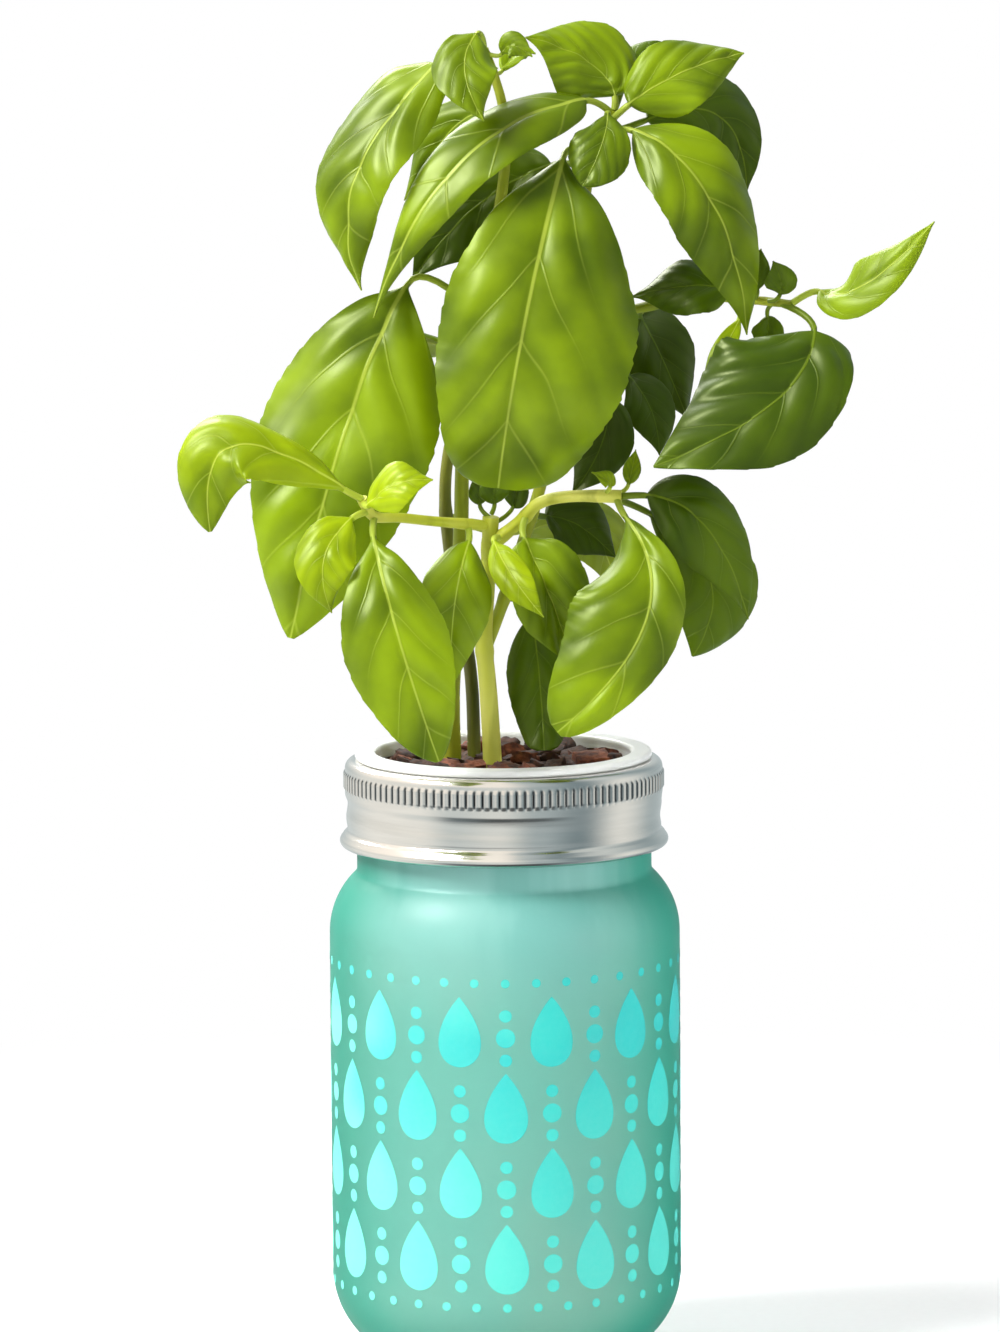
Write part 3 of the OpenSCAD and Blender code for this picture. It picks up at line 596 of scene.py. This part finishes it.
def jar_outline():
    """The jar's section: foot, outer wall, rim, inner wall and floor."""
    heel = (JAR_R - HEEL_R, HEEL_R - HEEL_FLAT)
    run = NECK_R + NECK_FILLET - (JAR_R - SHOULDER_R)
    rise = math.sqrt((SHOULDER_R + NECK_FILLET) ** 2 - run ** 2)
    shoulder = (JAR_R - SHOULDER_R, JAR_H - NECK_H - rise)
    angle = math.degrees(math.atan2(rise, run))
    foot = heel[0] + math.sqrt(HEEL_R ** 2 - heel[1] ** 2)
    inner_angle = math.degrees(math.acos((MOUTH_R - shoulder[0]) / (SHOULDER_R - JAR_WALL)))
    floor_angle = math.degrees(math.asin((heel[1] - JAR_FLOOR_T) / (HEEL_R - JAR_WALL)))
    ring = foot - FOOT_RING_W
    return (
        [(0, FOOT_HOLLOW), (ring - 3, FOOT_HOLLOW), (ring - 1, 0.9), (ring, 0.2)]
        + [(ring + 0.6, 0), (foot - 0.8, 0)]
        + arc(*heel, HEEL_R, -math.degrees(math.acos((foot - heel[0]) / HEEL_R)), 0, 28)
        + arc(*shoulder, SHOULDER_R, 0, angle, 24)
        + arc(shoulder[0] + run, shoulder[1] + rise, NECK_FILLET, 180 + angle, 180, 8)
        + arc(NECK_R - RIM_ROUND, JAR_H - RIM_ROUND, RIM_ROUND, 0, 90, 6)
        + arc(MOUTH_R + RIM_ROUND, JAR_H - RIM_ROUND, RIM_ROUND, 90, 180, 6)
        + arc(*shoulder, SHOULDER_R - JAR_WALL, inner_angle, 0, 20)
        + arc(*heel, HEEL_R - JAR_WALL, 0, -floor_angle, 24)
        + [(0, JAR_FLOOR_T)]
    )


def make_jar(material):
    points, faces = lathe(jar_outline(), JAR_SEGMENTS)
    jar = make_piece("jar_glass", points, faces, [material], "jar")
    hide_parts("glass_jar")


# The print: rows and columns of drops, with columns of three dots between them and two dotted borders
DROP_ROWS = 4
DROP_COLUMNS = 12
DROP_SIZE = (19.0, 15.0)
DROP_STEPS = 36
DOT_STEPS = 24
DOT_COLUMN = ((2.6, -1.5), (1.7, 4.5), (1.7, -7.5))
BORDER_DOT_R = 1.2
BORDER_DOTS = 36
BORDER_GAP = 3.0
PRINT_LOW = 26.0
PRINT_HIGH = 108.0
PRINT_SKIN = (0.02, 0.06)


def drop_outline(length, width, count):
    """A water drop standing on its round end, about its own centre."""
    out = []
    for i in range(count):
        a = TAU * i / count
        x = 0.5 * width * math.sin(a) * math.sin(a / 2) ** 0.9
        out.append((x, 0.5 * length * math.cos(a)))
    return out


def print_patch(outline, angle, height):
    """A thin closed patch of an outline laid on the jar's wall."""
    points = []
    n = len(outline)
    shares = (1.0, 0.66, 0.33)
    for skin in PRINT_SKIN:
        r = JAR_R + skin
        for share in shares:
            for x, y in outline:
                a = angle + share * x / JAR_R
                points.append((r * math.cos(a), r * math.sin(a), height + share * y))
        points.append((r * math.cos(angle), r * math.sin(angle), height))
    faces = []
    layer = len(shares) * n + 1
    for side in (0, 1):
        start = side * layer
        for ring in range(len(shares)):
            for j in range(n):
                k = (j + 1) % n
                a, b = start + ring * n + j, start + ring * n + k
                if ring < len(shares) - 1:
                    face = (a, b, b + n, a + n)
                else:
                    face = (a, b, start + layer - 1)
                faces.append(face if side else face[::-1])
    for j in range(n):
        k = (j + 1) % n
        faces.append((j, k, layer + k, layer + j))
    return points, faces


def make_print(material):
    points = []
    faces = []
    drop = drop_outline(*DROP_SIZE, DROP_STEPS)

    def dot(radius, angle, height):
        turns = [TAU * i / DOT_STEPS for i in range(DOT_STEPS)]
        circle = [(radius * math.sin(a), radius * math.cos(a)) for a in turns]
        join(points, faces, print_patch(circle, angle, height))

    step = (PRINT_HIGH - PRINT_LOW) / DROP_ROWS
    for row in range(DROP_ROWS):
        z = PRINT_LOW + step * (row + 0.5)
        for column in range(DROP_COLUMNS):
            a = TAU * (column + 0.5 * (row % 2)) / DROP_COLUMNS
            join(points, faces, print_patch(drop, a, z))
            for radius, above in DOT_COLUMN:
                dot(radius, a + TAU * 0.5 / DROP_COLUMNS, z + above)
    for i in range(BORDER_DOTS):
        dot(BORDER_DOT_R, TAU * i / BORDER_DOTS, PRINT_LOW - BORDER_GAP)
        dot(BORDER_DOT_R, TAU * i / BORDER_DOTS, PRINT_HIGH + BORDER_GAP)
    make_piece("jar_print", points, faces, [material], "jar")


def band_outline(cut):
    """One side of the band's section from its top edge to its bead, a depth under the outer face."""
    knurl_r = WAIST_R + KNURL_STEP
    bead = (WAIST_R + BEAD_OUT - BEAD_R, BAND_FOOT + BEAD_R)
    knurl_zone = [(knurl_r - cut, KNURL_FOOT + KNURL_H * (1 - i / 8)) for i in range(9)]
    slope = [(knurl_r - cut, KNURL_FOOT - 0.7)]
    for i in range(1, 7):
        t = i / 6
        slope.append((knurl_r - cut - KNURL_STEP * smooth(0, 1, t), KNURL_FOOT - 0.7 - 2.7 * t))
    waist_low = bead[1] + BEAD_R + 1.8
    waist_high = KNURL_FOOT - 3.4
    waist = [(WAIST_R - cut, waist_high + (waist_low - waist_high) * i / 14) for i in range(1, 15)]
    flare = [(WAIST_R - cut + (bead[0] + BEAD_R * 0.5 - WAIST_R) * smooth(0, 1, i / 5),
              waist_low - 1.9 * i / 5) for i in range(1, 5)]
    corner = arc(knurl_r - CORNER_R, BAND_TOP - CORNER_R, CORNER_R - cut, 90, 0, 8)
    roll = arc(*bead, BEAD_R - cut * 0.8, 55, -100, 9)
    return corner + knurl_zone + slope + waist + flare + roll


def make_band(material):
    """The band with its knurls outside and its rolled thread on both sides."""
    waist_low = BAND_FOOT + 2 * BEAD_R + 1.0
    waist_high = KNURL_FOOT - 1.4
    flange_r = NECK_R + BAND_GAP - FLANGE_W
    outside = band_outline(0)
    inside = band_outline(BAND_T)

    def reshape(i, r, z, a):
        thread = 0.5 + 0.5 * math.cos(TAU * ((z - waist_low) / THREAD_PITCH + a / TAU))
        window = smooth(waist_low - 0.6, waist_low + 1.6, z)
        window *= 1 - smooth(waist_high - 1.2, waist_high + 0.6, z)
        r += THREAD_RISE * thread * window
        if i < split:
            window = smooth(KNURL_FOOT - 0.05, KNURL_FOOT + 0.5, z)
            window *= 1 - smooth(KNURL_TOP - 0.5, KNURL_TOP + 0.05, z)
            r += KNURL_DEPTH * abs(math.cos(KNURL_COUNT * a / 2)) ** 0.6 * window
        return r

    outline = [(flange_r, BAND_TOP - BAND_T * 0.3), (flange_r + 0.2, BAND_TOP)] + outside
    split = len(outline)
    outline += inside[::-1] + [(flange_r + 0.2, BAND_TOP - BAND_T), (flange_r, BAND_TOP - BAND_T * 0.7)]
    points, faces = lathe(outline, KNURL_COUNT * KNURL_SEGMENTS, reshape)
    faces = [face[::-1] for face in faces]
    band = make_piece("band_metal", points, faces, [material], "band")
    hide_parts("screw_band")


# Medium and chips

MEDIUM_SEGMENTS = 96
MEDIUM_RINGS = 30
CHIP_STEPS = 5

# Rings of chips: radius, how many, and the length of one; and one large chip by itself
CHIP_RINGS = ((28.0, 20, 7.5), (20.5, 15, 7.5), (13.0, 9, 7.0), (6.0, 5, 6.5))
LARGE_CHIP = ((11, 9, 6), 24, -13, 0.8, 1)


def make_medium(material):
    """The coir plug, lumpy on top inside its rim."""
    outline = [(0, PLUG_FOOT), (PLUG_FOOT_R, PLUG_FOOT)]
    outline += [(PLUG_TOP_R * i / MEDIUM_RINGS, SOIL_Z) for i in range(MEDIUM_RINGS, -1, -1)]
    plain, faces = lathe(outline, MEDIUM_SEGMENTS)
    points = []
    for x, y, z in plain:
        if z > PLUG_FOOT:
            lump = max(noise.fractal(Vector((x, y, 0)) * 0.35, 0.8, 2.1, 4), -0.6)
            inside = math.hypot(x, y) < PLUG_TOP_R - 0.01
            z = min(SOIL_Z - 0.5 + (0.9 * lump if inside else 0), SOIL_Z)
        points.append((x, y, z))
    medium = make_piece("coir_medium", points, faces, [material], "insert")
    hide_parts("coir_plug")


def chunk(rng, size, place, turn):
    """One bark chip: a block with rounded, broken faces."""
    grid = {}
    points = []
    faces = []
    seed = Vector((rng.random() * 90, rng.random() * 90, rng.random() * 90))

    def vertex(x, y, z):
        key = (x, y, z)
        if key not in grid:
            v = Vector((x, y, z)) * (2 / CHIP_STEPS) - Vector((1, 1, 1))
            v = 0.5 * v * (0.72 + 0.28 / max(v.length, 0.6))
            v *= 1 + 0.28 * noise.noise(v * 3.1 + seed) + 0.1 * noise.noise(v * 9.0 + seed)
            v = Vector((v.x * size[0], v.y * size[1], v.z * size[2]))
            grid[key] = len(points)
            points.append(tuple(turn @ v + Vector(place)))
        return grid[key]

    for a in range(CHIP_STEPS):
        for b in range(CHIP_STEPS):
            for side in (0, CHIP_STEPS):
                quads = (
                    [(a, b, side), (a + 1, b, side), (a + 1, b + 1, side), (a, b + 1, side)],
                    [(a, side, b), (a, side, b + 1), (a + 1, side, b + 1), (a + 1, side, b)],
                    [(side, a, b), (side, a + 1, b), (side, a + 1, b + 1), (side, a, b + 1)],
                )
                for quad in quads:
                    face = [vertex(*q) for q in quad]
                    faces.append(face if side else face[::-1])
    return points, faces


def make_chips(materials):
    """Chips in rings on the medium, with room left for the stems."""
    rng = random.Random(11)
    points = []
    faces = []
    indices = []

    def add(size, x, y, lift, tint):
        for rx, ry in ROOTS:
            if math.hypot(x - rx, y - ry) < STEM_D / 2 + max(size) * 0.5:
                return
        turn = Matrix.Rotation(rng.uniform(0, TAU), 3, "Z") @ Matrix.Rotation(rng.uniform(-0.5, 0.5), 3, "X")
        turn = turn @ Matrix.Rotation(rng.uniform(-0.4, 0.4), 3, "Y")
        part = chunk(rng, size, (x, y, SOIL_Z + lift), turn)
        join(points, faces, part)
        indices.extend([tint] * len(part[1]))

    for radius, count, length in CHIP_RINGS:
        for i in range(count):
            a = TAU * (i + rng.uniform(-0.2, 0.2)) / count
            r = radius + rng.uniform(-1.2, 1.2)
            long = length * rng.uniform(0.7, 1.15)
            size = (long, long * rng.uniform(0.6, 0.85), long * rng.uniform(0.35, 0.5))
            add(size, r * math.cos(a), r * math.sin(a), long * 0.02, rng.choice((0, 0, 0, 1)))
    add(*LARGE_CHIP)
    chips = make_piece("bark_pieces", points, faces, materials, "insert", indices=indices)
    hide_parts("bark_chips")


# The plant

def curve_at(p, u):
    """The place at a share of a smooth curve through points."""
    n = len(p) - 1
    s = min(max(u * n, 0.0), n - 1e-6)
    i = int(math.floor(s))
    t = s - i
    a, b, c, d = p[max(i - 1, 0)], p[i], p[i + 1], p[min(i + 2, n)]
    square = (2 * a - 5 * b + 4 * c - d) * t * t
    cube = (3 * b - a - 3 * c + d) * t * t * t
    return 0.5 * (2 * b + (c - a) * t + square + cube)


def stem_points(row):
    parent, place, root, points = row[2:6]
    if root < 0:
        start = [stem_at(parent, place)]
    else:
        x, y = ROOTS[root]
        start = [Vector((x, y, SOIL_Z - ROOT_DEPTH)), Vector((x, y, SOIL_Z))]
    return start + [Vector(p) + SOIL for p in points]


def stem_row(name):
    return next(row for row in STEMS if row[0] == name)


def stem_at(name, u):
    return curve_at(stem_points(stem_row(name)), u)


def stem_radius(row, u):
    first, last = row[6:]
    return (first + (last - first) * u) / 2


def graft(name, u, base, stalk):
    """Where a stalk starts, a little inside the skin of its stem."""
    c = stem_at(name, u)
    radius = stem_radius(stem_row(name), u)
    return c + (base - c).normalized() * max(radius - stalk * GRAFT_SINK, 0)


def make_stem(row, material):
    """A four-ribbed stem that swells a little where leaves grow out of it."""
    p = stem_points(row)
    name = row[0]
    length = sum((p[i + 1] - p[i]).length for i in range(len(p) - 1))
    steps = max(24, int(length / 1.6))
    nodes = [other[3] for other in LEAVES + STEMS if other[2] == name]
    nodes += [bud[2] for bud in BUDS if bud[1] == name]
    rings = []
    for i in range(steps + 1):
        u = i / steps
        dir_ = (curve_at(p, u + 0.25 / steps) - curve_at(p, u - 0.25 / steps)).normalized()
        side = dir_.cross(Vector((0, 1, 0))).normalized()
        up = side.cross(dir_)
        place = u * length
        swell = max([math.exp(-((place - n * length) / 2.2) ** 2) for n in nodes] + [0.0])
        radius = stem_radius(row, u) * (0.97 + 0.16 * swell)
        ring = []
        for j in range(STEM_SIDES):
            a = TAU * j / STEM_SIDES
            rib = 1 + 0.05 * math.cos(4 * a + 0.8) + 0.02 * noise.noise(Vector((a, place * 0.2, 3)))
            ring.append(curve_at(p, u) + radius * rib * (math.cos(a) * side - math.sin(a) * up))
        rings.append(ring)
    points, faces = loft(rings)
    piece = make_piece(name + "_skin", points, [f[::-1] for f in faces], [material], "insert")
    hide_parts(name)


def leaf_shape(t, form):
    """Half the width of a blade at a share of its length, as a share of its widest."""
    return max(math.sin(math.pi * t ** form[0]), 0.0) ** (ROUNDNESS + form[1] * t + form[3] * (1 - t))


def half_round(s):
    return math.sqrt(max(1 - s * s, 0))


def blade_offset(s, fold, curl):
    """How far out and up a point of a folded and curled section lies, at a share of its half width."""
    f, c = math.radians(fold), math.radians(curl)
    return (math.sin(f) - math.sin(f - c * s)) / c, (math.cos(f - c * s) - math.cos(f)) / c


# Form of a blade: sizes in millimetres, PUFF, RIPPLE and WAVE as shares of its width, TOOTH and WAVER
# of its half width, and the edges of puffs and ridges as shares of the veins' spacing
BLADE_T = 0.36
TOOTH = 0.022
TOOTH_SPACE = 5.5
WAVER = 0.035
WAVE = (0.04, 0.07)
PUFF = 0.03
PUFF_EDGE = 0.27
FULL_PUFF_W = 28
RIPPLE = 0.028
GROOVE = 0.28
GROOVE_W = 0.9
RIDGE = 0.16
RIDGE_EDGE = 0.13
STALK_STEPS = 7

# Least width of a blade, and the rows along and points across that its mesh has
LEAF_MESH = ((34, 84, 52), (20, 64, 40), (12, 44, 28), (0, 28, 16))


def bezier(a, b, c, t):
    """A place on the curve from a to c that b draws toward itself, and the way it goes there."""
    place = (1 - t) ** 2 * a + 2 * t * (1 - t) * b + t * t * c
    return place, ((1 - t) * (b - a) + t * (c - b)).normalized()


def leaf_axes(dir_, face, turn):
    """The ways across a leaf and up from it, turned about its midrib by degrees."""
    side = dir_.cross(face).normalized()
    a = math.radians(turn)
    side = math.cos(a) * side + math.sin(a) * side.cross(dir_)
    return side, side.cross(dir_)


def stalk_rings(start, lead, base, face, stalk, shares):
    rings = []
    for i in range(STALK_STEPS):
        u = i / STALK_STEPS
        c, dir_ = bezier(start, lead, base, u)
        side, up = leaf_axes(dir_, face, 0)
        r = stalk / 2 * (1.08 - 0.12 * u)
        top = [c + r * (s * side + 0.9 * half_round(s) * up) for s in shares]
        low = [c + r * (s * side - half_round(s) * up) for s in shares[-2:0:-1]]
        rings.append(top + low)
    return rings


def leaf_rings(start, base, middle, tip, width, face, bends, form, stalk, seed, along, across):
    """Sections of one leaf from its stalk to its tip, with the map place of every point."""
    fold, curl, twist = bends
    face = Vector(face)
    bend = 2 * middle - (base + tip) / 2
    lead = base - (bend - base).normalized() * (base - start).length * 0.4
    length = (middle - base).length + (tip - middle).length
    rng = random.Random(seed)
    phase = rng.uniform(0, TAU)
    wave = rng.uniform(*WAVE) * width
    shift = rng.uniform(0, VEIN_STEP)
    teeth = max(8, round(length / TOOTH_SPACE))
    shares = [math.sin(math.pi / 2 * (2 * i / across - 1)) for i in range(across + 1)]
    rings = stalk_rings(start, lead, base, face, stalk, shares)
    maps = [[(0.5, 0.0)] * len(ring) for ring in rings]
    for i in range(along + 1):
        t = (i / along) ** 1.08 * 0.996
        c, dir_ = bezier(base, bend, tip, t)
        side, up = leaf_axes(dir_, face, twist * t)
        begin = max(1 - t * 12, 0)
        tooth = (t * teeth) % 1.0
        edge = TOOTH * (1 - tooth) * smooth(0.12, 0.3, t) * (1 - smooth(0.9, 1, t))
        edge += WAVER * noise.noise(Vector((t * 7, seed * 3.1, 1))) * smooth(0.1, 0.3, t)
        half = max(width / 2 * leaf_shape(t, form), stalk / 2 * (1 - t) * 0.96, 0.15)
        rib = stalk / 2 * (1 - t) ** 0.8 + 0.12
        blade_t = BLADE_T + (stalk - BLADE_T) * begin
        fade = smooth(0.02, 0.14, t) * (1 - smooth(0.88, 1, t))
        puff = PUFF * width * min(width / FULL_PUFF_W, 1) * fade
        top, low, here = [], [], []
        for s in shares:
            way = 1 if s > 0 else -1
            out, rise = blade_offset(abs(s), fold * (1 - begin), curl)
            lean = 1 + way * form[2] * (1 - begin)
            h = half * lean * (1 + edge * s ** 4)
            spot = c + h * (way * out * side + rise * up)
            x = s * h / length
            stray = VEIN_STRAY * noise.noise(Vector((t * 2.6 + way * 9, seed * 5.7, 0)))
            stray = shift + stray * smooth(0, 0.1, abs(x))
            v = vein_distance(x, t + stray)
            plump = 0.75 + 0.9 * noise.noise(Vector((s * 0.9 + 5, t * 4, seed * 2.3)))
            bulge = puff * plump * (1 - math.exp(-(v / PUFF_EDGE) ** 2)) * (1 - abs(s) ** 3)
            bulge += wave * fade * way * abs(s) ** 2.2 * math.sin(TAU * 1.6 * t + phase + 0.9 * way)
            bulge += RIPPLE * width * fade * noise.noise(Vector((s * 1.6, t * 3.2, seed * 1.7)))
            groove = math.exp(-(s * h / GROOVE_W) ** 2)
            skin = (1 - begin) * blade_t / 2 * half_round(s ** 3)
            round_ = begin * stalk / 2 * half_round(s)
            vein_ridge = RIDGE * math.exp(-(v / RIDGE_EDGE) ** 2) * fade * (1 - abs(s) ** 4)
            high = bulge + skin + 0.9 * round_ - GROOVE * groove * fade - 0.6 * vein_ridge
            deep = bulge - skin - round_ - rib * groove * (1 - begin) - vein_ridge
            top.append(spot + high * up)
            low.append(spot + deep * up)
            here.append((0.5 + x, t + stray))
        rings.append(top + low[-2:0:-1])
        maps.append(here + here[-2:0:-1])
    return rings, maps


def add_leaf(store, stem, place, base, middle, tip, width, face, bends, form, stalk, seed):
    """Adds one leaf or bud to a store, with its under side as the second material."""
    along, across = next(counts for least, *counts in LEAF_MESH if width > least)
    base, middle, tip = [Vector(p) + SOIL for p in (base, middle, tip)]
    start = graft(stem, place, base, stalk)
    rings, maps = leaf_rings(start, base, middle, tip, width, face, bends, form, stalk, seed, along, across)
    points, faces = loft(rings)
    n = len(rings[0])
    sides = (len(rings) - 1) * n
    join(store["points"], store["faces"], (points, [face_[::-1] for face_ in faces]))
    store["uvs"].extend([uv for ring in maps for uv in ring])
    store["indices"].extend([int(i < sides and i % n >= across) for i in range(len(faces))])


def make_leaf_piece(node, store, materials):
    piece = make_piece(node + "_blade", store["points"], store["faces"], materials, "insert",
                       uvs=store["uvs"], indices=store["indices"])
    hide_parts(node)


def empty_store():
    return {"points": [], "faces": [], "uvs": [], "indices": []}


def make_plant(tones, stem_tones):
    for row in STEMS:
        make_stem(row, stem_tones[row[1]])
    for seed, row in enumerate(LEAVES):
        store = empty_store()
        add_leaf(store, *row[2:], STALK_D, seed + 1)
        make_leaf_piece(row[0], store, tones[row[1]])
    for group, tone in BUD_TONES.items():
        store = empty_store()
        for seed, row in enumerate(row for row in BUDS if row[0] == group):
            add_leaf(store, *row[1:], BUD_BENDS, PLAIN, BUD_STALK_D, BUD_SEED + seed)
        make_leaf_piece(group, store, tones[tone])


# The stage, the light and the camera

# What mirrors see around the object, as greys at shares of a turn from behind, by the left, the front
# and the right: the floor close by, the room at its own level, and the room above
ROOM_PLACES = (0.0, 0.07, 0.21, 0.32, 0.4, 0.49, 0.57, 0.66, 0.76, 0.88, 1.0)
ROOM_NEAR = (0.4, 0.55, 0.95, 0.78, 0.12, 0.02, 0.04, 0.28, 0.58, 0.25, 0.4)
ROOM_LEVEL = (0.6, 0.7, 0.95, 0.95, 0.7, 0.85, 0.5, 0.3, 0.9, 0.5, 0.6)
ROOM_HIGH = (0.8, 1.0, 1.15, 1.15, 1.05, 1.1, 0.6, 0.3, 0.75, 0.4, 0.8)
WHITE = (1, 1, 1, 1)
MIRROR_SHARE = 0.95
WORLD_LIGHT = 0.26
FLOOR_HALF = 3.0

# Each lamp: name, place, aim, width in metres, watts, spread in degrees, and whether mirrors see it
LAMPS = (
    ("key", (-1.4, -0.7, 1.8), (0, 0, 0.2), 0.8, 66.0, 180, True),
    ("back", (-0.7, 1.2, 1.4), (0, 0, 0.22), 0.9, 34.0, 180, True),
    ("fill", (1.4, -1.6, 1.0), (0, 0, 0.15), 1.4, 6.0, 180, False),
    ("jar_fill", (1.6, -1.0, 0.3), (0.01, 0, 0.05), 0.4, 0.22, 16, False),
)


def room_color(sh, x, y, greys):
    """The colour that mirrors see in a level direction: cool where it is dark, warm where it is bright."""
    turn = sh.math("MULTIPLY_ADD", sh.math("ARCTAN2", x, sh.times(y, -1.0)), 1 / TAU, 0.5)
    ramp = sh.nodes.new("ShaderNodeValToRGB")
    ramp.color_ramp.interpolation = "EASE"
    sh.put(ramp.inputs["Fac"], turn)
    stops = ramp.color_ramp.elements
    while len(stops) < len(greys):
        stops.new(0.5)
    for stop, place, grey in zip(stops, ROOM_PLACES, greys):
        stop.position = place
        stop.color = (grey * (0.62 + 0.4 * grey), grey * (0.95 + 0.04 * grey), grey * (1.1 - 0.17 * grey), 1)
    return ramp.outputs["Color"]


def make_world():
    """Soft pale light from all sides, and a plain room for mirrors to see."""
    sh = Shader("studio", world=True)
    bpy.context.scene.world = sh.material
    x, y, z = [sh.axis(name, "Generated") for name in "XYZ"]
    room = sh.mix(sh.ramp(z, 0.05, 0.45), room_color(sh, x, y, ROOM_LEVEL), room_color(sh, x, y, ROOM_HIGH))
    light = sh.blend(sh.ray("Glossy"), sh.glow(WHITE, WORLD_LIGHT), sh.glow(room))
    sh.done(sh.blend(sh.seen_directly(), light, sh.glow(WHITE)))


def make_floor():
    """A pale floor that keeps the soft shadow near the jar and fades into white away from it. To mirrors it
    glows with a painted reflection of a room, dark in front.
    """
    mesh = bpy.data.meshes.new("floor")
    signs = ((-1, -1), (1, -1), (1, 1), (-1, 1))
    mesh.from_pydata([(a * FLOOR_HALF, b * FLOOR_HALF, 0) for a, b in signs], [], [(0, 1, 2, 3)])
    floor = bpy.data.objects.new("floor", mesh)
    bpy.context.scene.collection.objects.link(floor)
    sh = Shader("pale_floor")
    x, y = sh.axis("X"), sh.axis("Y")
    away = sh.math("SQRT", sh.math("ADD", sh.times(x, x), sh.times(y, y)))
    fade = sh.times(sh.ramp(away, 0.12, 0.5), sh.seen_directly())
    grain = sh.noise(400.0, 2.0)
    matt = sh.principled(Base_Color=sh.mix(grain, (0.9, 0.9, 0.9, 1), (0.94, 0.94, 0.94, 1)), Roughness=0.6)
    # Painted reflection: for mirror rays the floor glows with room greys, dark close in front of the jar,
    # instead of reflecting light.
    far = sh.ramp(away, 0.2, 0.42)
    room = sh.mix(far, room_color(sh, x, y, ROOM_NEAR), room_color(sh, x, y, ROOM_LEVEL))
    mirror = sh.times(sh.ray("Glossy"), MIRROR_SHARE)
    mesh.materials.append(sh.done(sh.blend(fade, sh.blend(mirror, matt, sh.glow(room)), sh.glow(WHITE))))


def make_lamp(name, place, aim, size, power, spread, mirrored):
    """A square lamp. A narrow spread keeps its light near its aim."""
    light = bpy.data.lights.new(name, "AREA")
    light.shape = "SQUARE"
    light.size = size
    light.energy = power
    light.spread = math.radians(spread)
    lamp = bpy.data.objects.new(name, light)
    lamp.location = place
    lamp.rotation_euler = (Vector(aim) - Vector(place)).to_track_quat("-Z", "Y").to_euler()
    lamp.visible_glossy = mirrored
    bpy.context.scene.collection.objects.link(lamp)


CAMERA_AIM = Vector((-0.0008, 0.0, 0.190))
CAMERA_DISTANCE = 2.0
CAMERA_RISE = math.radians(7.5)
CAMERA_ROLL = math.radians(0.4)
CAMERA_LENS = 199.6


def make_camera():
    camera = bpy.data.objects.new("camera", bpy.data.cameras.new("camera"))
    camera.data.lens = CAMERA_LENS
    camera.data.sensor_width = 36.0
    camera.data.clip_end = 20.0
    away = Vector((0, -math.cos(CAMERA_RISE), math.sin(CAMERA_RISE)))
    camera.location = CAMERA_AIM + CAMERA_DISTANCE * away
    look = (-away).to_track_quat("-Z", "Y").to_matrix()
    camera.rotation_euler = (look @ Matrix.Rotation(-CAMERA_ROLL, 3, "Z")).to_euler()
    bpy.context.scene.collection.objects.link(camera)
    bpy.context.scene.camera = camera


def paint(node, material):
    """Gives a carried-over node of the frame its material."""
    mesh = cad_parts[node].data
    mesh.materials.clear()
    mesh.materials.append(material)


def leaf_tones():
    """Upper and under sides of the leaves, from sunlit to shaded."""
    pale = ((112, 132, 20), (156, 172, 52), (200, 208, 92))
    under = leaf_material("leaf_under", *pale, 0.5, 0.36)
    # Lit and shaded copies of one leaf colour, painted light and painted shade: each leaf takes the tone of
    # the light it sits in.
    tones = {
        "bright": ((84, 114, 0), (190, 214, 12), (224, 236, 96), 0.36, 0.24),
        "fresh": ((58, 86, 0), (152, 180, 9), (204, 220, 88), 0.4, 0.15),
        "mid": ((54, 80, 0), (150, 178, 8), (200, 216, 84), 0.36, 0.17),
        "deep": ((42, 66, 0), (86, 112, 0), (130, 152, 34), 0.38, 0.14),
        "shade": ((28, 46, 0), (54, 78, 1), (100, 124, 24), 0.38, 0.14),
    }
    return {key: (leaf_material("leaf_" + key, *values), under) for key, values in tones.items()}


def stem_tones():
    return {
        "pale": stem_material("stem_pale", (186, 194, 40), (238, 236, 116), (150, 158, 30)),
        "green": stem_material("stem_green", (132, 148, 12), (196, 202, 56), (96, 110, 8)),
        "olive": stem_material("stem_olive", (84, 92, 14), (150, 152, 58), (66, 54, 16)),
    }


bpy.context.scene.view_settings.view_transform = "Standard"
make_camera()
make_world()
make_floor()
for row in LAMPS:
    make_lamp(*row)

make_jar(glass_material())
make_print(print_material())
make_band(metal_material())
paint("net_cup", plastic_material())
paint("wick", wick_material())
make_medium(crumb_material("coir", (40, 26, 16), (96, 62, 38), 700.0))
make_chips([
    crumb_material("bark_brown", (34, 20, 12), (84, 50, 30), 420.0),
    crumb_material("bark_red", (66, 30, 16), (140, 78, 48), 420.0),
])
make_plant(leaf_tones(), stem_tones())
